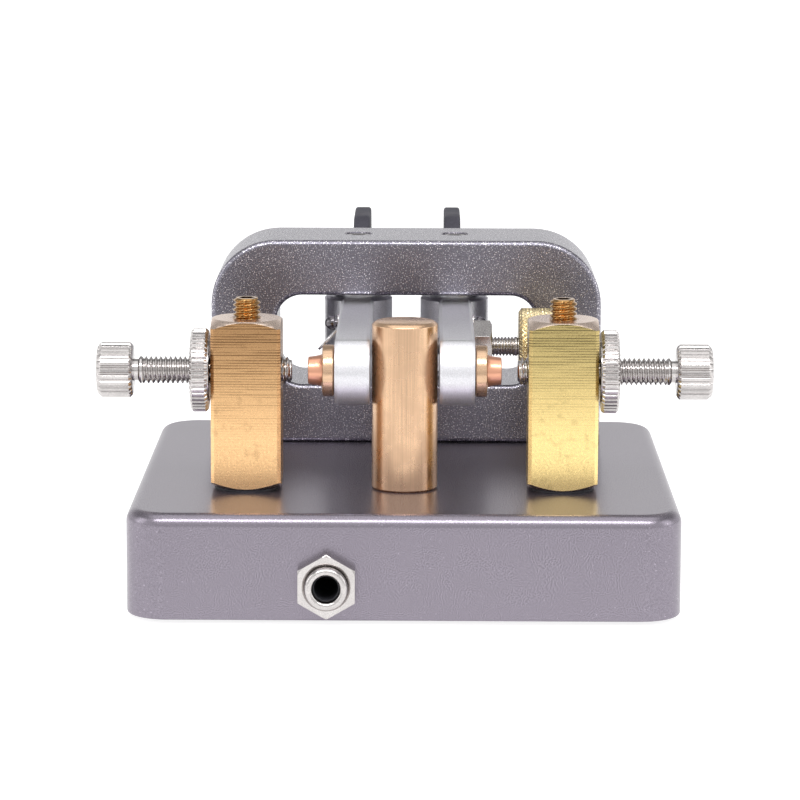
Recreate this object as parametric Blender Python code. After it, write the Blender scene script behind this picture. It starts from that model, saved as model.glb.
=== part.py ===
"""Twin-lever iambic morse key: base, arch frame, two pivoted levers, contact posts and adjusters.

Every solid is one real piece. Sizes are in metres. The origin is the centre of the base's
underside, +Z is up, +Y points to the finger paddles and -Y to the cable socket.
"""

from math import cos, pi, radians, sin, sqrt

import bmesh
import bpy
from mathutils import Vector

MM = 0.001

# Fits shared by all pieces
SEAT_GAP = 0.3 * MM  # left between two pieces that touch
HOLE_CLEARANCE = 0.3 * MM  # added to a shaft's radius to give its hole
THROUGH = 1.0 * MM  # how far a cutter runs past a face

# Base: a milled block, hollow underneath, closed by a non-slip sheet
BASE_SIDE = 78.0 * MM
BASE_HEIGHT = 15.0 * MM
BASE_LIFT = 0.6 * MM  # the sheet holds the base this far off the table
BASE_CORNER_RADIUS = 6.0 * MM
BASE_TOP_ROUND = 1.3 * MM
BASE_WALL = 5.0 * MM
BASE_TOP_PLATE = 5.0 * MM
CAVITY_CORNER_RADIUS = 4.0 * MM
PAD_THICKNESS = 1.5 * MM
PAD_LEDGE = 2.0 * MM  # how far the sheet overlaps the walls
BASE_TOP = BASE_LIFT + BASE_HEIGHT
CAVITY_ROOF = BASE_TOP - BASE_TOP_PLATE
CAVITY_SIDE = BASE_SIDE - 2 * BASE_WALL
PAD_SIDE = CAVITY_SIDE + 2 * PAD_LEDGE

# Threaded pieces, as plain cylinders of their outer diameter
M4_RADIUS = 1.95 * MM
M4_PITCH = 0.7 * MM
M3_RADIUS = 1.45 * MM
M2_5_RADIUS = 1.25 * MM
SOCKET_DEPTH = 2.0 * MM
M4_SOCKET_FLATS = 2.0 * MM

# Row of posts across the base
POST_ROW_INSET = 20.9 * MM  # from the base's near edge
POST_ROW_Y = POST_ROW_INSET - BASE_SIDE / 2
POST_X = 22.7 * MM
POST_SIDE = 10.0 * MM
POST_HEIGHT = 24.0 * MM
POST_CORNER_CHAMFER = 0.7 * MM
POST_END_CHAMFER = 0.9 * MM
POST_END_RADIUS = 4.85 * MM  # where the turned chamfer starts on the end faces
CENTRE_POST_RADIUS = 4.75 * MM
CENTRE_POST_CHAMFER = 0.5 * MM
INSULATOR_RADIUS = 4.7 * MM
INSULATOR_FLANGE = 0.5 * MM
INSULATOR_RECESS = 0.4 * MM
BUSH_WALL = 1.0 * MM
BUSH_FLANGE = 0.8 * MM
POST_BOLT_REACH = 8.0 * MM
BOLT_HEAD_RADIUS = 3.5 * MM
BOLT_HEAD_HEIGHT = 2.6 * MM
LUG_RADIUS = 4.0 * MM
LUG_THICKNESS = 0.6 * MM
LUG_TAIL_WIDTH = 3.0 * MM
LUG_TAIL_LENGTH = 8.5 * MM
LUG_TAIL_OVERLAP = 0.5 * MM
OUTER_POST_FOOT = BASE_TOP - INSULATOR_RECESS + INSULATOR_FLANGE + 2 * SEAT_GAP
CENTRE_POST_FOOT = BASE_TOP + SEAT_GAP

# Contact screws, their lock wheels and clamp screws
AXIS_Z = BASE_TOP + 17.05 * MM  # height of the contact screws and of the levers' middle
CONTACT_GAP = 2.3 * MM
CONTACT_SCREW_LENGTH = 22.85 * MM
CONTACT_KNOB_RADIUS = 4.0 * MM
CONTACT_KNOB_LENGTH = 5.1 * MM
KNOB_SPIGOT = 4.0 * MM
KNOB_CHAMFER = 0.5 * MM
LOCK_WHEEL_RADIUS = 6.0 * MM
LOCK_WHEEL_LENGTH = 2.7 * MM
LOCK_WHEEL_SHOULDER = 0.5 * MM
LOCK_WHEEL_SHOULDER_RADIUS = 4.4 * MM
CLAMP_SCREW_PROUD = 2.9 * MM

# Arch frame
FRAME_WIDTH = 60.0 * MM
FRAME_DEPTH = 17.5 * MM
FRAME_INSET = 3.5 * MM  # from the base's far edge
FRAME_REAR_Y = BASE_SIDE / 2 - FRAME_INSET - FRAME_DEPTH
FRAME_TOP = BASE_TOP + 31.4 * MM
FRAME_CORNER_RADIUS = 10.0 * MM
FRAME_EDGE = 0.5 * MM
WINDOW_WIDTH = 40.0 * MM
WINDOW_SILL = BASE_TOP + 9.0 * MM
WINDOW_HEIGHT = 13.9 * MM
WINDOW_RADIUS = 4.0 * MM
FRAME_SCREW_X = 22.0 * MM
FRAME_SCREW_REACH = 6.0 * MM
FRAME_FOOT = BASE_TOP + SEAT_GAP
FRAME_MIDDLE_Y = FRAME_REAR_Y + FRAME_DEPTH / 2

# Levers and their pivots
PIVOT_Y = FRAME_REAR_Y + 9.4 * MM
ARM_THICKNESS = 5.0 * MM
ARM_HEIGHT = 9.5 * MM
ARM_CHAMFER = 0.5 * MM
ARM_INNER_X = CENTRE_POST_RADIUS + SEAT_GAP
ARM_OUTER_X = ARM_INNER_X + ARM_THICKNESS
HUB_OFFSET = 0.05 * MM  # the hub stands this far inside the beam's middle
PIVOT_X = ARM_INNER_X + ARM_THICKNESS / 2 - HUB_OFFSET
HUB_RADIUS = 5.3 * MM
HUB_CLEARANCE = 0.4 * MM
PIVOT_PIN_RADIUS = 1.0 * MM
PIVOT_PIN_LENGTH = 2.6 * MM
PIVOT_SCREW_SINK = 0.2 * MM
BEARING_RADIUS = 2.9 * MM
BEARING_HEIGHT = 2.5 * MM
BEARING_SINK = 0.3 * MM
LOWER_PIVOT_LENGTH = 7.5 * MM

# Finger paddles on the levers' front tongues
PADDLE_INNER_X = ARM_INNER_X + 0.9 * MM
PADDLE_THICKNESS = 2.6 * MM
PADDLE_CLEARANCE = 5.0 * MM  # in front of the frame
PADDLE_REAR_Y = FRAME_REAR_Y + FRAME_DEPTH + PADDLE_CLEARANCE
PADDLE_LENGTH = 22.0 * MM
PADDLE_HEIGHT = 26.0 * MM
PADDLE_TOP = BASE_TOP + 32.1 * MM
PADDLE_CORNER_RADIUS = 5.0 * MM
PADDLE_EDGE = 0.6 * MM
TONGUE_THICKNESS = 2.6 * MM
TONGUE_HEIGHT = 8.0 * MM
TONGUE_CORNER_RADIUS = 2.0 * MM
TONGUE_OUTER_X = PADDLE_INNER_X - SEAT_GAP
TONGUE_OVERLAP = 18.5 * MM  # how far it runs along the paddle
TONGUE_FRONT_Y = PADDLE_REAR_Y + TONGUE_OVERLAP
TONGUE_ROOT = 1.3 * MM  # how far the tongue starts behind the pivot, inside the hub
PADDLE_SCREW_INSET = 4.6 * MM
PADDLE_SCREW_SPACING = 9.6 * MM
PADDLE_SCREW_HEAD_RADIUS = 2.25 * MM
PADDLE_SCREW_HEAD = 1.6 * MM

# Contacts on the levers
DISC_RADIUS = 3.75 * MM
DISC_SEAT_TO_FACE = 1.8 * MM
DISC_CHAMFER = 0.35 * MM
DISC_STUD_RADIUS = 1.5 * MM
DISC_STUD_LENGTH = 3.6 * MM
TIP_BASE_RADIUS = 2.4 * MM
TIP_FACE_RADIUS = 1.75 * MM
TIP_LENGTH = 2.05 * MM
TIP_FACE_X = ARM_OUTER_X + DISC_SEAT_TO_FACE + TIP_LENGTH
SCREW_TIP_X = TIP_FACE_X + CONTACT_GAP
CONTACT_KNOB_X = SCREW_TIP_X + CONTACT_SCREW_LENGTH

# Connection tags riveted to the levers' outer faces
TAG_SETBACK = 5.0 * MM  # from the frame's near face
TAG_Y = FRAME_REAR_Y - TAG_SETBACK
TAG_Z = AXIS_Z + 2.35 * MM
TAG_WIDTH = 2.2 * MM
TAG_THICKNESS = 0.35 * MM
TAG_FOOT = 1.3 * MM
TAG_LEAF_OUT = 3.1 * MM
TAG_LEAF_DOWN = 2.9 * MM
RIVET_RADIUS = 0.6 * MM
RIVET_HEAD_RADIUS = 1.15 * MM
RIVET_HEAD_HEIGHT = 1.35 * MM
RIVET_DOME = 0.9 * MM
RIVET_REACH = 2.5 * MM

# Tension adjuster between the levers
TENSION_SETBACK = 12.5 * MM  # from the frame's near face
TENSION_Y = FRAME_REAR_Y - TENSION_SETBACK
TENSION_NUT_FLATS = 6.8 * MM
TENSION_NUT_LENGTH = 2.6 * MM
TENSION_SCREW_TIP_X = 2.5 * MM
TENSION_KNOB_X = ARM_OUTER_X + 6.9 * MM
TENSION_KNOB_LENGTH = 7.3 * MM
TENSION_KNOB_RADIUS = 5.8 * MM
TENSION_SPIGOT = 6.0 * MM
SPRING_RADIUS = 1.8 * MM
SPRING_WIRE = 0.45 * MM
ANCHOR_PIN_RADIUS = 0.6 * MM
ANCHOR_PIN_X = ARM_INNER_X + 2.55 * MM
ANCHOR_PIN_RISE = 2.0 * MM
ANCHOR_HOLE_DEPTH = 4.0 * MM
SPRING_HOOK = 1.0 * MM  # from the spring's last turn to the pin's middle

# Cable socket in the near wall
JACK_X = -10.7 * MM
JACK_Z = 5.9 * MM
JACK_NUT_FLATS = 8.0 * MM
JACK_NUT_LENGTH = 2.0 * MM
JACK_SLEEVE_RADIUS = 3.0 * MM
JACK_SLEEVE_PROUD = 1.6 * MM
JACK_BORE_RADIUS = 1.8 * MM
JACK_BORE_DEPTH = 15.0 * MM
JACK_BODY_RADIUS = 3.8 * MM
JACK_BODY_LENGTH = 11.5 * MM
JACK_TAB_SPACING = 2.3 * MM
JACK_TAB_WIDTH = 1.4 * MM
JACK_TAB_THICKNESS = 0.5 * MM
JACK_TAB_LENGTH = 3.0 * MM
WIRE_RADIUS = 0.6 * MM
WIRE_STEPS = 4  # points on a wire between two points of its route
WIRE_BEND = 5.0 * MM  # how far the wires run on past the lugs before they turn back
WIRE_SPREAD = 3.0 * MM  # the long wire runs this much further out than the others
WIRE_DIP = 1.0 * MM
BASE_NEAR_Y = -BASE_SIDE / 2
CAVITY_NEAR_Y = BASE_NEAR_Y + BASE_WALL

# Roundness of turned pieces and arcs
FINE_SIDES = 24
SMALL_SIDES = 12
HEX_SIDES = 6
CORNER_STEPS = 6
COARSE_STEPS = 3
HALF_TURN_STEPS = 12
DOME_STEPS = 4
SMOOTH_ANGLE = radians(35)
SEAM_ANGLE = radians(4)  # turned pieces start here, so that crossing holes share no edge line
WELD = 0.000001

LEFT, RIGHT = -1, 1
SIDES = {"left": LEFT, "right": RIGHT}
X, Y, Z = Vector((1, 0, 0)), Vector((0, 1, 0)), Vector((0, 0, 1))

FINISHES = {
    "base_anodised": ((0.20, 0.18, 0.21), 0.8, 0.45),
    "frame_anodised": ((0.16, 0.15, 0.17), 0.8, 0.50),
    "arm_aluminium": ((0.62, 0.61, 0.63), 0.9, 0.35),
    "paddle_black": ((0.05, 0.05, 0.06), 0.0, 0.45),
    "post_brass": ((0.70, 0.50, 0.22), 1.0, 0.30),
    "bronze": ((0.62, 0.44, 0.26), 1.0, 0.25),
    "contact_copper": ((0.75, 0.38, 0.25), 1.0, 0.25),
    "nickel": ((0.75, 0.74, 0.72), 1.0, 0.20),
    "steel": ((0.45, 0.45, 0.46), 1.0, 0.30),
    "insulator_black": ((0.03, 0.03, 0.03), 0.0, 0.55),
    "silicone_black": ((0.04, 0.04, 0.04), 0.0, 0.80),
    "wire_red": ((0.45, 0.03, 0.03), 0.0, 0.50),
    "wire_white": ((0.70, 0.70, 0.68), 0.0, 0.50),
    "wire_black": ((0.03, 0.03, 0.03), 0.0, 0.50),
}


def clear_scene():
    """Remove whatever the file holds, so that only this model is left."""
    for obj in list(bpy.data.objects):
        bpy.data.objects.remove(obj)


def finish(name):
    """The material of that name, made on first use."""
    material = bpy.data.materials.get(name)
    if material is None:
        colour, metallic, roughness = FINISHES[name]
        material = bpy.data.materials.new(name)
        material.use_nodes = True
        shader = material.node_tree.nodes["Principled BSDF"]
        shader.inputs["Base Color"].default_value = (*colour, 1.0)
        shader.inputs["Metallic"].default_value = metallic
        shader.inputs["Roughness"].default_value = roughness
        material.diffuse_color = (*colour, 1.0)
    return material


def piece_from(bm, name, material):
    """Turn a finished bmesh into an object with outward faces and smooth round sides."""
    bmesh.ops.remove_doubles(bm, verts=bm.verts, dist=WELD)
    bmesh.ops.recalc_face_normals(bm, faces=bm.faces)
    mesh = bpy.data.meshes.new(name)
    bm.to_mesh(mesh)
    bm.free()
    mesh.shade_smooth()
    mesh.set_sharp_from_angle(angle=SMOOTH_ANGLE)
    obj = bpy.data.objects.new(name, mesh)
    bpy.context.scene.collection.objects.link(obj)
    if material:
        mesh.materials.append(finish(material))
    return obj


def turned(name, profile, foot, direction, material=None, sides=FINE_SIDES, ring=False):
    """Turn a profile of (height, radius) points about a line from foot along direction.

    A ring's profile is a closed loop clear of the line; any other starts and ends on it.
    """
    bm = bmesh.new()
    seam = (cos(SEAM_ANGLE), sin(SEAM_ANGLE))
    corners = [bm.verts.new((radius * seam[0], radius * seam[1], height)) for height, radius in profile]
    pairs = list(zip(corners, corners[1:]))
    if ring:
        pairs.append((corners[-1], corners[0]))
    edges = [bm.edges.new(pair) for pair in pairs]
    bmesh.ops.spin(
        bm, geom=corners + edges, cent=(0, 0, 0), axis=(0, 0, 1), angle=2 * pi, steps=sides
    )
    obj = piece_from(bm, name, material)
    obj.location = foot
    obj.rotation_mode = "QUATERNION"
    obj.rotation_quaternion = Z.rotation_difference(Vector(direction))
    return obj


def rod(name, radius, foot, direction, length, material=None, sides=FINE_SIDES, chamfer=0.0):
    """A round rod from foot along direction, with both ends chamfered if asked."""
    profile = [(0, 0), (0, radius - chamfer)]
    if chamfer:
        profile += [(chamfer, radius), (length - chamfer, radius)]
    profile += [(length, radius - chamfer), (length, 0)]
    return turned(name, profile, foot, direction, material, sides)


def washer(name, inner, outer, foot, direction, length, material=None, sides=FINE_SIDES):
    """A plain ring from foot along direction."""
    profile = [(0, inner), (0, outer), (length, outer), (length, inner)]
    return turned(name, profile, foot, direction, material, sides, ring=True)


def prism(name, outline, across, up, start, direction, length, material=None):
    """Extrude a flat outline of (across, up) points from start along direction."""
    bm = bmesh.new()
    corners = [bm.verts.new(start + across * u + up * v) for u, v in outline]
    face = bm.faces.new(corners)
    grown = bmesh.ops.extrude_face_region(bm, geom=[face])["geom"]
    moved = [item for item in grown if isinstance(item, bmesh.types.BMVert)]
    bmesh.ops.translate(bm, verts=moved, vec=Vector(direction) * length)
    return piece_from(bm, name, material)


def rounded_rectangle(width, height, radius, steps=CORNER_STEPS, square_foot=False):
    """Outline of a rectangle about the origin, its corners quarter circles."""
    points = []
    for corner in range(4):
        start = corner * pi / 2
        across = 1 if corner in (0, 3) else -1
        up = 1 if corner in (0, 1) else -1
        if square_foot and up < 0:
            points.append((across * width / 2, up * height / 2))
            continue
        centre = (across * (width / 2 - radius), up * (height / 2 - radius))
        for step in range(steps + 1):
            angle = start + step * pi / 2 / steps
            points.append((centre[0] + radius * cos(angle), centre[1] + radius * sin(angle)))
    return points


def regular(sides, flats, turn=0.0):
    """Outline of a regular polygon about the origin with that width over its flats."""
    radius = flats / 2 / cos(pi / sides)
    return [
        (radius * cos(turn + 2 * pi * i / sides), radius * sin(turn + 2 * pi * i / sides))
        for i in range(sides)
    ]


def as_guide(obj):
    """Keep a cutter or a joined shape out of the model itself."""
    obj.hide_render = True
    obj.display_type = "WIRE"


def combine(target, other, operation):
    """Add a Boolean of target with other, which becomes a guide."""
    modifier = target.modifiers.new(f"{operation.lower()}_{other.name}", "BOOLEAN")
    modifier.operation = operation
    modifier.object = other
    modifier.solver = "EXACT"
    as_guide(other)


def cut(target, cutter):
    """Take cutter away from target."""
    combine(target, cutter, "DIFFERENCE")


def join(target, addition):
    """Make addition part of target."""
    combine(target, addition, "UNION")


def drill(target, name, radius, start, direction, depth, sides=SMALL_SIDES):
    """Drill a round hole into target, from just outside start."""
    direction = Vector(direction)
    outside = Vector(start) - direction * THROUGH
    cut(target, rod(name, radius, outside, direction, depth + THROUGH, sides=sides))


def break_edges(obj, width, segments=1, angle=radians(50)):
    """Bevel every edge sharper than angle."""
    modifier = obj.modifiers.new("edges", "BEVEL")
    modifier.width = width
    modifier.segments = segments
    modifier.limit_method = "ANGLE"
    modifier.angle_limit = angle
    modifier.use_clamp_overlap = False


def hex_socket(screw, name, flats, mouth, direction):
    """Sink a hexagon socket into a screw's end face."""
    across, up = (Y, Z) if abs(Vector(direction).x) > 0 else (X, Y)
    start = Vector(mouth) - Vector(direction) * THROUGH
    outline = regular(HEX_SIDES, flats)
    cut(screw, prism(name, outline, across, up, start, direction, SOCKET_DEPTH + THROUGH))


def post_places():
    """X and foot height of each of the three posts, by name."""
    return {
        "left": (-POST_X, OUTER_POST_FOOT),
        "right": (POST_X, OUTER_POST_FOOT),
        "centre": (0.0, CENTRE_POST_FOOT),
    }


def make_base():
    """The milled block with its cavity, socket hole, post holes and frame screw holes."""
    outline = rounded_rectangle(BASE_SIDE, BASE_SIDE, BASE_CORNER_RADIUS)
    base = prism("base", outline, X, Y, Z * BASE_LIFT, Z, BASE_HEIGHT, "base_anodised")
    rounding = base.modifiers.new("top_round", "BEVEL")
    rounding.width = BASE_TOP_ROUND
    rounding.segments = COARSE_STEPS
    rounding.limit_method = "WEIGHT"
    mark_level_edges(base.data, BASE_TOP)

    cavity = rounded_rectangle(CAVITY_SIDE, CAVITY_SIDE, CAVITY_CORNER_RADIUS, steps=COARSE_STEPS)
    floor = Z * (BASE_LIFT - THROUGH)
    depth = CAVITY_ROOF - BASE_LIFT + THROUGH
    cut(base, prism("cavity_cutter", cavity, X, Y, floor, Z, depth))
    rebate_side = PAD_SIDE + 2 * SEAT_GAP
    rebate = rounded_rectangle(rebate_side, rebate_side, CAVITY_CORNER_RADIUS, steps=COARSE_STEPS)
    rebate_depth = PAD_THICKNESS + SEAT_GAP - BASE_LIFT + THROUGH
    cut(base, prism("rebate_cutter", rebate, X, Y, floor, Z, rebate_depth))

    for name, (x, _) in post_places().items():
        insulated = name != "centre"
        radius = M4_RADIUS + HOLE_CLEARANCE
        if insulated:
            radius = bush_radius() + HOLE_CLEARANCE
        drill(base, f"{name}_post_hole", radius, (x, POST_ROW_Y, CAVITY_ROOF), Z, BASE_TOP_PLATE + THROUGH)
        if insulated:
            recess = INSULATOR_RADIUS + SEAT_GAP
            mouth = (x, POST_ROW_Y, BASE_TOP)
            drill(base, f"{name}_recess", recess, mouth, -Z, INSULATOR_RECESS, FINE_SIDES)
    for name, side in SIDES.items():
        mouth = (side * FRAME_SCREW_X, FRAME_MIDDLE_Y, CAVITY_ROOF)
        drill(base, f"{name}_frame_hole", M4_RADIUS + HOLE_CLEARANCE, mouth, Z, BASE_TOP_PLATE + THROUGH)
    socket = (JACK_X, BASE_NEAR_Y, JACK_Z)
    drill(base, "jack_hole", JACK_SLEEVE_RADIUS + HOLE_CLEARANCE, socket, Y, BASE_WALL + THROUGH)
    return base


def mark_level_edges(mesh, height):
    """Give the edges that lie at a height a full bevel weight."""
    weights = mesh.attributes.new("bevel_weight_edge", "FLOAT", "EDGE")
    for edge in mesh.edges:
        level = all(abs(mesh.vertices[v].co.z - height) < WELD for v in edge.vertices)
        weights.data[edge.index].value = 1.0 if level else 0.0


def make_pad():
    """The non-slip sheet let into the base's underside."""
    outline = rounded_rectangle(PAD_SIDE, PAD_SIDE, CAVITY_CORNER_RADIUS, steps=COARSE_STEPS)
    prism("non_slip_pad", outline, X, Y, Vector(), Z, PAD_THICKNESS, "silicone_black")


def bush_radius():
    """Outer radius of the insulating bush round a post's bolt."""
    return M4_RADIUS + HOLE_CLEARANCE + BUSH_WALL


def make_post_fixings():
    """Insulators, lugs and bolts that hold the three posts, from the cavity up."""
    for name, (x, post_foot) in post_places().items():
        under = CAVITY_ROOF - SEAT_GAP
        bore = M4_RADIUS + HOLE_CLEARANCE
        if name != "centre":
            washer_foot = Vector((x, POST_ROW_Y, post_foot - SEAT_GAP))
            washer(
                f"{name}_post_insulator", bore, INSULATOR_RADIUS, washer_foot, -Z, INSULATOR_FLANGE,
                "insulator_black", SMALL_SIDES,
            )
            sleeve_top = post_foot - 2 * SEAT_GAP - INSULATOR_FLANGE
            bush = washer(
                f"{name}_post_bush", bore, LUG_RADIUS, (x, POST_ROW_Y, under), -Z, BUSH_FLANGE,
                "insulator_black", SMALL_SIDES,
            )
            sleeve_foot = (x, POST_ROW_Y, under - BUSH_FLANGE / 2)
            sleeve_length = sleeve_top - under + BUSH_FLANGE / 2
            sleeve = washer(
                f"{name}_bush_sleeve", bore, bush_radius(), sleeve_foot, Z, sleeve_length,
                sides=SMALL_SIDES,
            )
            join(bush, sleeve)
            under -= BUSH_FLANGE + SEAT_GAP
        make_lug(name, x, under)
        under -= LUG_THICKNESS + SEAT_GAP
        tip = post_foot + POST_BOLT_REACH
        bolt_profile = [
            (0, 0),
            (0, BOLT_HEAD_RADIUS),
            (BOLT_HEAD_HEIGHT, BOLT_HEAD_RADIUS),
            (BOLT_HEAD_HEIGHT, M4_RADIUS),
            (tip - under + BOLT_HEAD_HEIGHT, M4_RADIUS),
            (tip - under + BOLT_HEAD_HEIGHT, 0),
        ]
        head = (x, POST_ROW_Y, under - BOLT_HEAD_HEIGHT)
        turned(f"{name}_post_bolt", bolt_profile, head, Z, "nickel", SMALL_SIDES)


def make_lug(name, x, top):
    """A ring terminal whose tail points away from the socket."""
    foot = (x, POST_ROW_Y, top)
    lug = washer(
        f"{name}_solder_lug", M4_RADIUS + HOLE_CLEARANCE, LUG_RADIUS, foot, -Z, LUG_THICKNESS,
        "nickel", SMALL_SIDES,
    )
    near = LUG_RADIUS - LUG_TAIL_OVERLAP
    half = LUG_TAIL_WIDTH / 2
    outline = [(-half, near), (half, near), (half, LUG_TAIL_LENGTH), (-half, LUG_TAIL_LENGTH)]
    tail = prism(f"{name}_lug_tail", outline, X, Y, Vector(foot), -Z, LUG_THICKNESS)
    join(lug, tail)


def make_outer_post(name, side):
    """A square brass post with turned chamfers, drilled for three screws."""
    foot = Vector((side * POST_X, POST_ROW_Y, OUTER_POST_FOOT))
    half = POST_SIDE / 2
    low = half - POST_CORNER_CHAMFER
    outline = [
        (half, -low), (half, low), (low, half), (-low, half),
        (-half, low), (-half, -low), (-low, -half), (low, -half),
    ]
    post = prism(f"{name}_post", outline, X, Y, foot, Z, POST_HEIGHT, "post_brass")
    widest = POST_SIDE / sqrt(2)
    slope = (widest - POST_END_RADIUS) / POST_END_CHAMFER
    beyond = POST_END_RADIUS - THROUGH * slope
    profile = [
        (-THROUGH, 0),
        (-THROUGH, beyond),
        (POST_END_CHAMFER, widest),
        (POST_HEIGHT - POST_END_CHAMFER, widest),
        (POST_HEIGHT + THROUGH, beyond),
        (POST_HEIGHT + THROUGH, 0),
    ]
    combine(post, turned(f"{name}_post_turning", profile, foot, Z), "INTERSECT")
    bore = M4_RADIUS + HOLE_CLEARANCE
    outer_face = (side * (POST_X + half), POST_ROW_Y, AXIS_Z)
    drill(post, f"{name}_post_cross_hole", bore, outer_face, X * -side, POST_SIDE + THROUGH)
    top = foot + Z * POST_HEIGHT
    drill(post, f"{name}_clamp_hole", bore, top, -Z, top.z - AXIS_Z)
    drill(post, f"{name}_bolt_hole", bore, foot, Z, POST_BOLT_REACH + SEAT_GAP)


def make_centre_post():
    """The round grounded post that both levers rest against."""
    foot = Vector((0, POST_ROW_Y, CENTRE_POST_FOOT))
    post = rod(
        "centre_post", CENTRE_POST_RADIUS, foot, Z, POST_HEIGHT, "bronze", FINE_SIDES, CENTRE_POST_CHAMFER
    )
    drill(post, "centre_bolt_hole", M4_RADIUS + HOLE_CLEARANCE, foot, Z, POST_BOLT_REACH + SEAT_GAP)


def make_contact_screw(name, side):
    """Contact screw, its knob, its lock wheel and the clamp screw above it."""
    outward = X * side
    tip = Vector((side * SCREW_TIP_X, POST_ROW_Y, AXIS_Z))
    length = CONTACT_SCREW_LENGTH + KNOB_SPIGOT
    rod(f"{name}_contact_screw", M4_RADIUS, tip, outward, length, "nickel", SMALL_SIDES)

    bore = M4_RADIUS + HOLE_CLEARANCE
    knob_foot = Vector((side * CONTACT_KNOB_X, POST_ROW_Y, AXIS_Z))
    edge = CONTACT_KNOB_RADIUS - KNOB_CHAMFER
    bottom = KNOB_SPIGOT + SEAT_GAP
    knob_profile = [
        (bottom, 0),
        (bottom, bore),
        (0, bore),
        (0, edge),
        (KNOB_CHAMFER, CONTACT_KNOB_RADIUS),
        (CONTACT_KNOB_LENGTH - KNOB_CHAMFER, CONTACT_KNOB_RADIUS),
        (CONTACT_KNOB_LENGTH, edge),
        (CONTACT_KNOB_LENGTH, 0),
    ]
    turned(f"{name}_contact_knob", knob_profile, knob_foot, outward, "nickel", FINE_SIDES)

    wheel_x = POST_X + POST_SIDE / 2 + SEAT_GAP
    wheel_foot = Vector((side * wheel_x, POST_ROW_Y, AXIS_Z))
    rim = LOCK_WHEEL_RADIUS - KNOB_CHAMFER
    wheel_profile = [
        (0, bore),
        (0, LOCK_WHEEL_SHOULDER_RADIUS),
        (LOCK_WHEEL_SHOULDER, LOCK_WHEEL_SHOULDER_RADIUS),
        (LOCK_WHEEL_SHOULDER, rim),
        (LOCK_WHEEL_SHOULDER + KNOB_CHAMFER, LOCK_WHEEL_RADIUS),
        (LOCK_WHEEL_LENGTH - KNOB_CHAMFER, LOCK_WHEEL_RADIUS),
        (LOCK_WHEEL_LENGTH, rim),
        (LOCK_WHEEL_LENGTH, bore),
    ]
    turned(f"{name}_lock_wheel", wheel_profile, wheel_foot, outward, "nickel", FINE_SIDES, ring=True)

    post_top = OUTER_POST_FOOT + POST_HEIGHT
    clamp_foot = Vector((side * POST_X, POST_ROW_Y, AXIS_Z + M4_RADIUS + SEAT_GAP))
    clamp_length = post_top + CLAMP_SCREW_PROUD - clamp_foot.z
    clamp = rod(
        f"{name}_clamp_screw", M4_RADIUS, clamp_foot, Z, clamp_length, "post_brass", SMALL_SIDES
    )
    hex_socket(clamp, f"{name}_clamp_socket", M4_SOCKET_FLATS, clamp_foot + Z * clamp_length, -Z)


def make_frame():
    """The arch with its window, pivot holes and screw holes."""
    height = FRAME_TOP - FRAME_FOOT
    middle = Vector((0, FRAME_REAR_Y, FRAME_FOOT + height / 2))
    outline = rounded_rectangle(FRAME_WIDTH, height, FRAME_CORNER_RADIUS, square_foot=True)
    frame = prism("frame", outline, X, Z, middle, Y, FRAME_DEPTH, "frame_anodised")
    window = rounded_rectangle(WINDOW_WIDTH, WINDOW_HEIGHT, WINDOW_RADIUS)
    start = Vector((0, FRAME_REAR_Y - THROUGH, WINDOW_SILL + WINDOW_HEIGHT / 2))
    cut(frame, prism("window_cutter", window, X, Z, start, Y, FRAME_DEPTH + 2 * THROUGH))
    break_edges(frame, FRAME_EDGE)
    bore = M4_RADIUS + HOLE_CLEARANCE
    for name, side in SIDES.items():
        x = side * PIVOT_X
        top_bar = FRAME_TOP - WINDOW_SILL - WINDOW_HEIGHT
        drill(frame, f"{name}_upper_hole", bore, (x, PIVOT_Y, FRAME_TOP), -Z, top_bar + THROUGH)
        sill = (x, PIVOT_Y, WINDOW_SILL)
        drill(frame, f"{name}_lower_hole", bore, sill, -Z, LOWER_PIVOT_LENGTH + SEAT_GAP)
        foot = (side * FRAME_SCREW_X, FRAME_MIDDLE_Y, FRAME_FOOT)
        drill(frame, f"{name}_fixing_hole", bore, foot, Z, FRAME_SCREW_REACH + SEAT_GAP)
        make_frame_screw(name, side)
        make_pivots(name, side)


def make_frame_screw(name, side):
    """The screw that holds the frame from inside the base."""
    head_top = CAVITY_ROOF - SEAT_GAP
    tip = FRAME_FOOT + FRAME_SCREW_REACH
    profile = [
        (0, 0),
        (0, BOLT_HEAD_RADIUS),
        (BOLT_HEAD_HEIGHT, BOLT_HEAD_RADIUS),
        (BOLT_HEAD_HEIGHT, M4_RADIUS),
        (tip - head_top + BOLT_HEAD_HEIGHT, M4_RADIUS),
        (tip - head_top + BOLT_HEAD_HEIGHT, 0),
    ]
    foot = (side * FRAME_SCREW_X, FRAME_MIDDLE_Y, head_top - BOLT_HEAD_HEIGHT)
    turned(f"{name}_frame_screw", profile, foot, Z, "steel", SMALL_SIDES)


def make_pivots(name, side):
    """Upper pivot screw and lower pivot pin of one lever."""
    hub_top = WINDOW_SILL + WINDOW_HEIGHT - HUB_CLEARANCE
    hub_foot = WINDOW_SILL + HUB_CLEARANCE
    shoulder = hub_top + SEAT_GAP
    start = Vector((side * PIVOT_X, PIVOT_Y, shoulder - PIVOT_PIN_LENGTH))
    body = FRAME_TOP - PIVOT_SCREW_SINK - shoulder
    upper = turned(
        f"{name}_upper_pivot", pivot_profile(body), start, Z, "nickel", SMALL_SIDES
    )
    mouth = start + Z * (PIVOT_PIN_LENGTH + body)
    hex_socket(upper, f"{name}_pivot_socket", M4_SOCKET_FLATS, mouth, -Z)
    low_start = Vector((side * PIVOT_X, PIVOT_Y, hub_foot - SEAT_GAP + PIVOT_PIN_LENGTH))
    low_body = LOWER_PIVOT_LENGTH
    turned(f"{name}_lower_pivot", pivot_profile(low_body), low_start, -Z, "steel", SMALL_SIDES)


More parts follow.
